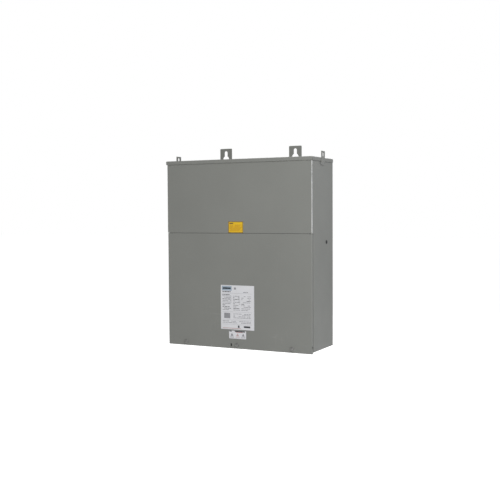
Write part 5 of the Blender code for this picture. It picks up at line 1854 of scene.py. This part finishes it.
for side in ("left", "right"):
    edgeSizes[f"contact_arm_{side}"] = 0.0005
    edgeSizes[f"load_bus_{side}"] = 0.0005
    for source in ("utility", "generator"):
        edgeSizes[f"{source}_contact_{side}"] = 0.0005
        edgeSizes[f"{source}_lug_{side}"] = 0.0008
    edgeSizes[f"load_lug_{side}"] = 0.0008

for name, node in cadNodes.items():
    for materialSlot in node.material_slots:
        label = materialSlot.material.name.split(".")[0]
        materialSlot.material = finishes[label]
    if name in edgeSizes:
        weld = node.modifiers.new("weld", "WELD")
        weld.merge_threshold = 0.00001
        softenEdges(node, edgeSizes[name])
print("nodes finished")

makeBackPanel()
makeUpperCover()
makeLowerCover()
makeTopCap()
makeBottomPan()
for index, (side, x, z) in enumerate(screwPlaces()):
    makeCoverScrew(side, x, z, 0.4 + index * 0.9)
makeNameplate()
makeSmallPlate()
makeCautionPlate()
makeWeldMarks()
makeClipNuts()
print("enclosure finished")
for side in ("left", "right"):
    makeArcChute(side)
makeLugScrews()
makeBarScrews()
makePanelNuts()
makeBaseTrim()
makeContactTips()
makeCoil("utility")
makeCoil("generator")
makeSpring()
makeFrameFixings()
makeHandleTrim()
print("switch finished")
makeBoardParts()
makeTransformer()
makeTerminalScrews()
makeFuseTrim()
makeWires()
print("control parts finished")


# camera, floor and light

shot = {
    "place": (1.2833, -2.6174, 0.1354),
    "yaw": -26.85,
    "pitch": -2.57,
    "roll": -0.33,
    "lens": 60.3,
}


def makeCamera():
    yaw, pitch, roll = (math.radians(shot[key]) for key in ("yaw", "pitch", "roll"))
    forward = Vector((math.sin(yaw) * math.cos(pitch), math.cos(yaw) * math.cos(pitch), math.sin(pitch)))
    right = Vector((math.cos(yaw), -math.sin(yaw), 0))
    up = right.cross(forward)
    turnedRight = right * math.cos(roll) + up * math.sin(roll)
    turnedUp = up * math.cos(roll) - right * math.sin(roll)
    facing = Matrix((turnedRight, turnedUp, -forward)).transposed().to_4x4()
    camera = bpy.data.objects.new("camera", bpy.data.cameras.new("camera"))
    camera.matrix_world = Matrix.Translation(shot["place"]) @ facing
    camera.data.lens = shot["lens"]
    camera.data.sensor_width = 36.0
    camera.data.clip_start = 0.01
    bpy.context.collection.objects.link(camera)
    bpy.context.scene.camera = camera


def makeFloor():
    # pale sheet, seen near white, and clear from underneath so that the bottom pan can be looked at
    material, tree, shader = startFinish("floor")
    tone = ramp(tree, noise(tree, objectPoint(tree), 3.0, 2.0), 0.3, 0.7, 0.92, 0.95)
    pale = addNode(tree, "ShaderNodeCombineColor", {0: tone, 1: tone, 2: tone}).outputs[0]
    rays = addNode(tree, "ShaderNodeLightPath")
    joinUp(tree, shader, Base_Color=pale, Emission_Color=pale)
    tree.links.new(calc(tree, "MULTIPLY", rays.outputs["Is Camera Ray"], studio["floorGlow"]),
                   shader.inputs["Emission Strength"])
    shader.inputs["Roughness"].default_value = 0.9
    shader.inputs["Specular IOR Level"].default_value = 0.1
    clear = addNode(tree, "ShaderNodeBsdfTransparent")
    under = addNode(tree, "ShaderNodeNewGeometry").outputs["Backfacing"]
    sheer = addNode(tree, "ShaderNodeMixShader", {0: under, 1: shader.outputs[0], 2: clear.outputs[0]})
    tree.links.new(sheer.outputs[0], tree.nodes["Material Output"].inputs["Surface"])
    builder = bmesh.new()
    bmesh.ops.create_grid(builder, x_segments=4, y_segments=4, size=20.0)
    mesh = bpy.data.meshes.new("floor")
    builder.to_mesh(mesh)
    builder.free()
    mesh.materials.append(material)
    floor = bpy.data.objects.new("floor", mesh)
    floor.location.z = cadBox[0][2] - studio["floorDrop"]
    bpy.context.collection.objects.link(floor)


studio = {
    "worldLight": 0.42,         # soft light from all round
    "worldSeen": 1.0,           # the backdrop behind the object
    "floorGlow": 0.66,
    "floorDrop": 0.30,          # the box hangs this far above the floor
    # softboxes: place, (width, height), power, colour
    "softboxes": {
        "key": ((1.10, -1.38, 1.00), (0.8, 0.8), 15.8, (1.0, 0.995, 0.975)),
        "sideStrip": ((1.9, -0.95, 1.15), (0.20, 0.90), 6.9, (0.62, 0.70, 1.0)),
        "back": ((-0.6, 2.3, 1.5), (1.6, 1.6), 26.0, (1.0, 1.0, 1.0)),
        "leftSide": ((-2.3, 0.35, 0.8), (1.0, 1.2), 8.0, (0.98, 0.99, 1.0)),
    },
}


def makeLights():
    for name, (place, size, power, colour) in studio["softboxes"].items():
        lamp = bpy.data.lights.new(name, "AREA")
        lamp.shape = "RECTANGLE"
        lamp.size, lamp.size_y = size
        lamp.energy = power
        lamp.color = colour
        light = bpy.data.objects.new(name, lamp)
        light.location = place
        light.rotation_euler = (Vector((0, -0.1, 0)) - Vector(place)).to_track_quat("-Z", "Y").to_euler()
        bpy.context.collection.objects.link(light)
    world = bpy.data.worlds.new("studio")
    world.use_nodes = True
    tree = world.node_tree
    glow = tree.nodes["Background"]
    glow.inputs["Color"].default_value = (1.0, 1.0, 1.0, 1.0)
    seen = addNode(tree, "ShaderNodeLightPath").outputs["Is Camera Ray"]
    tree.links.new(ramp(tree, seen, 0.0, 1.0, studio["worldLight"], studio["worldSeen"]),
                   glow.inputs["Strength"])
    bpy.context.scene.world = world
    bpy.context.scene.view_settings.view_transform = "Standard"


makeCamera()
makeFloor()
makeLights()
print("studio ready")

bpy.context.view_layer.update()
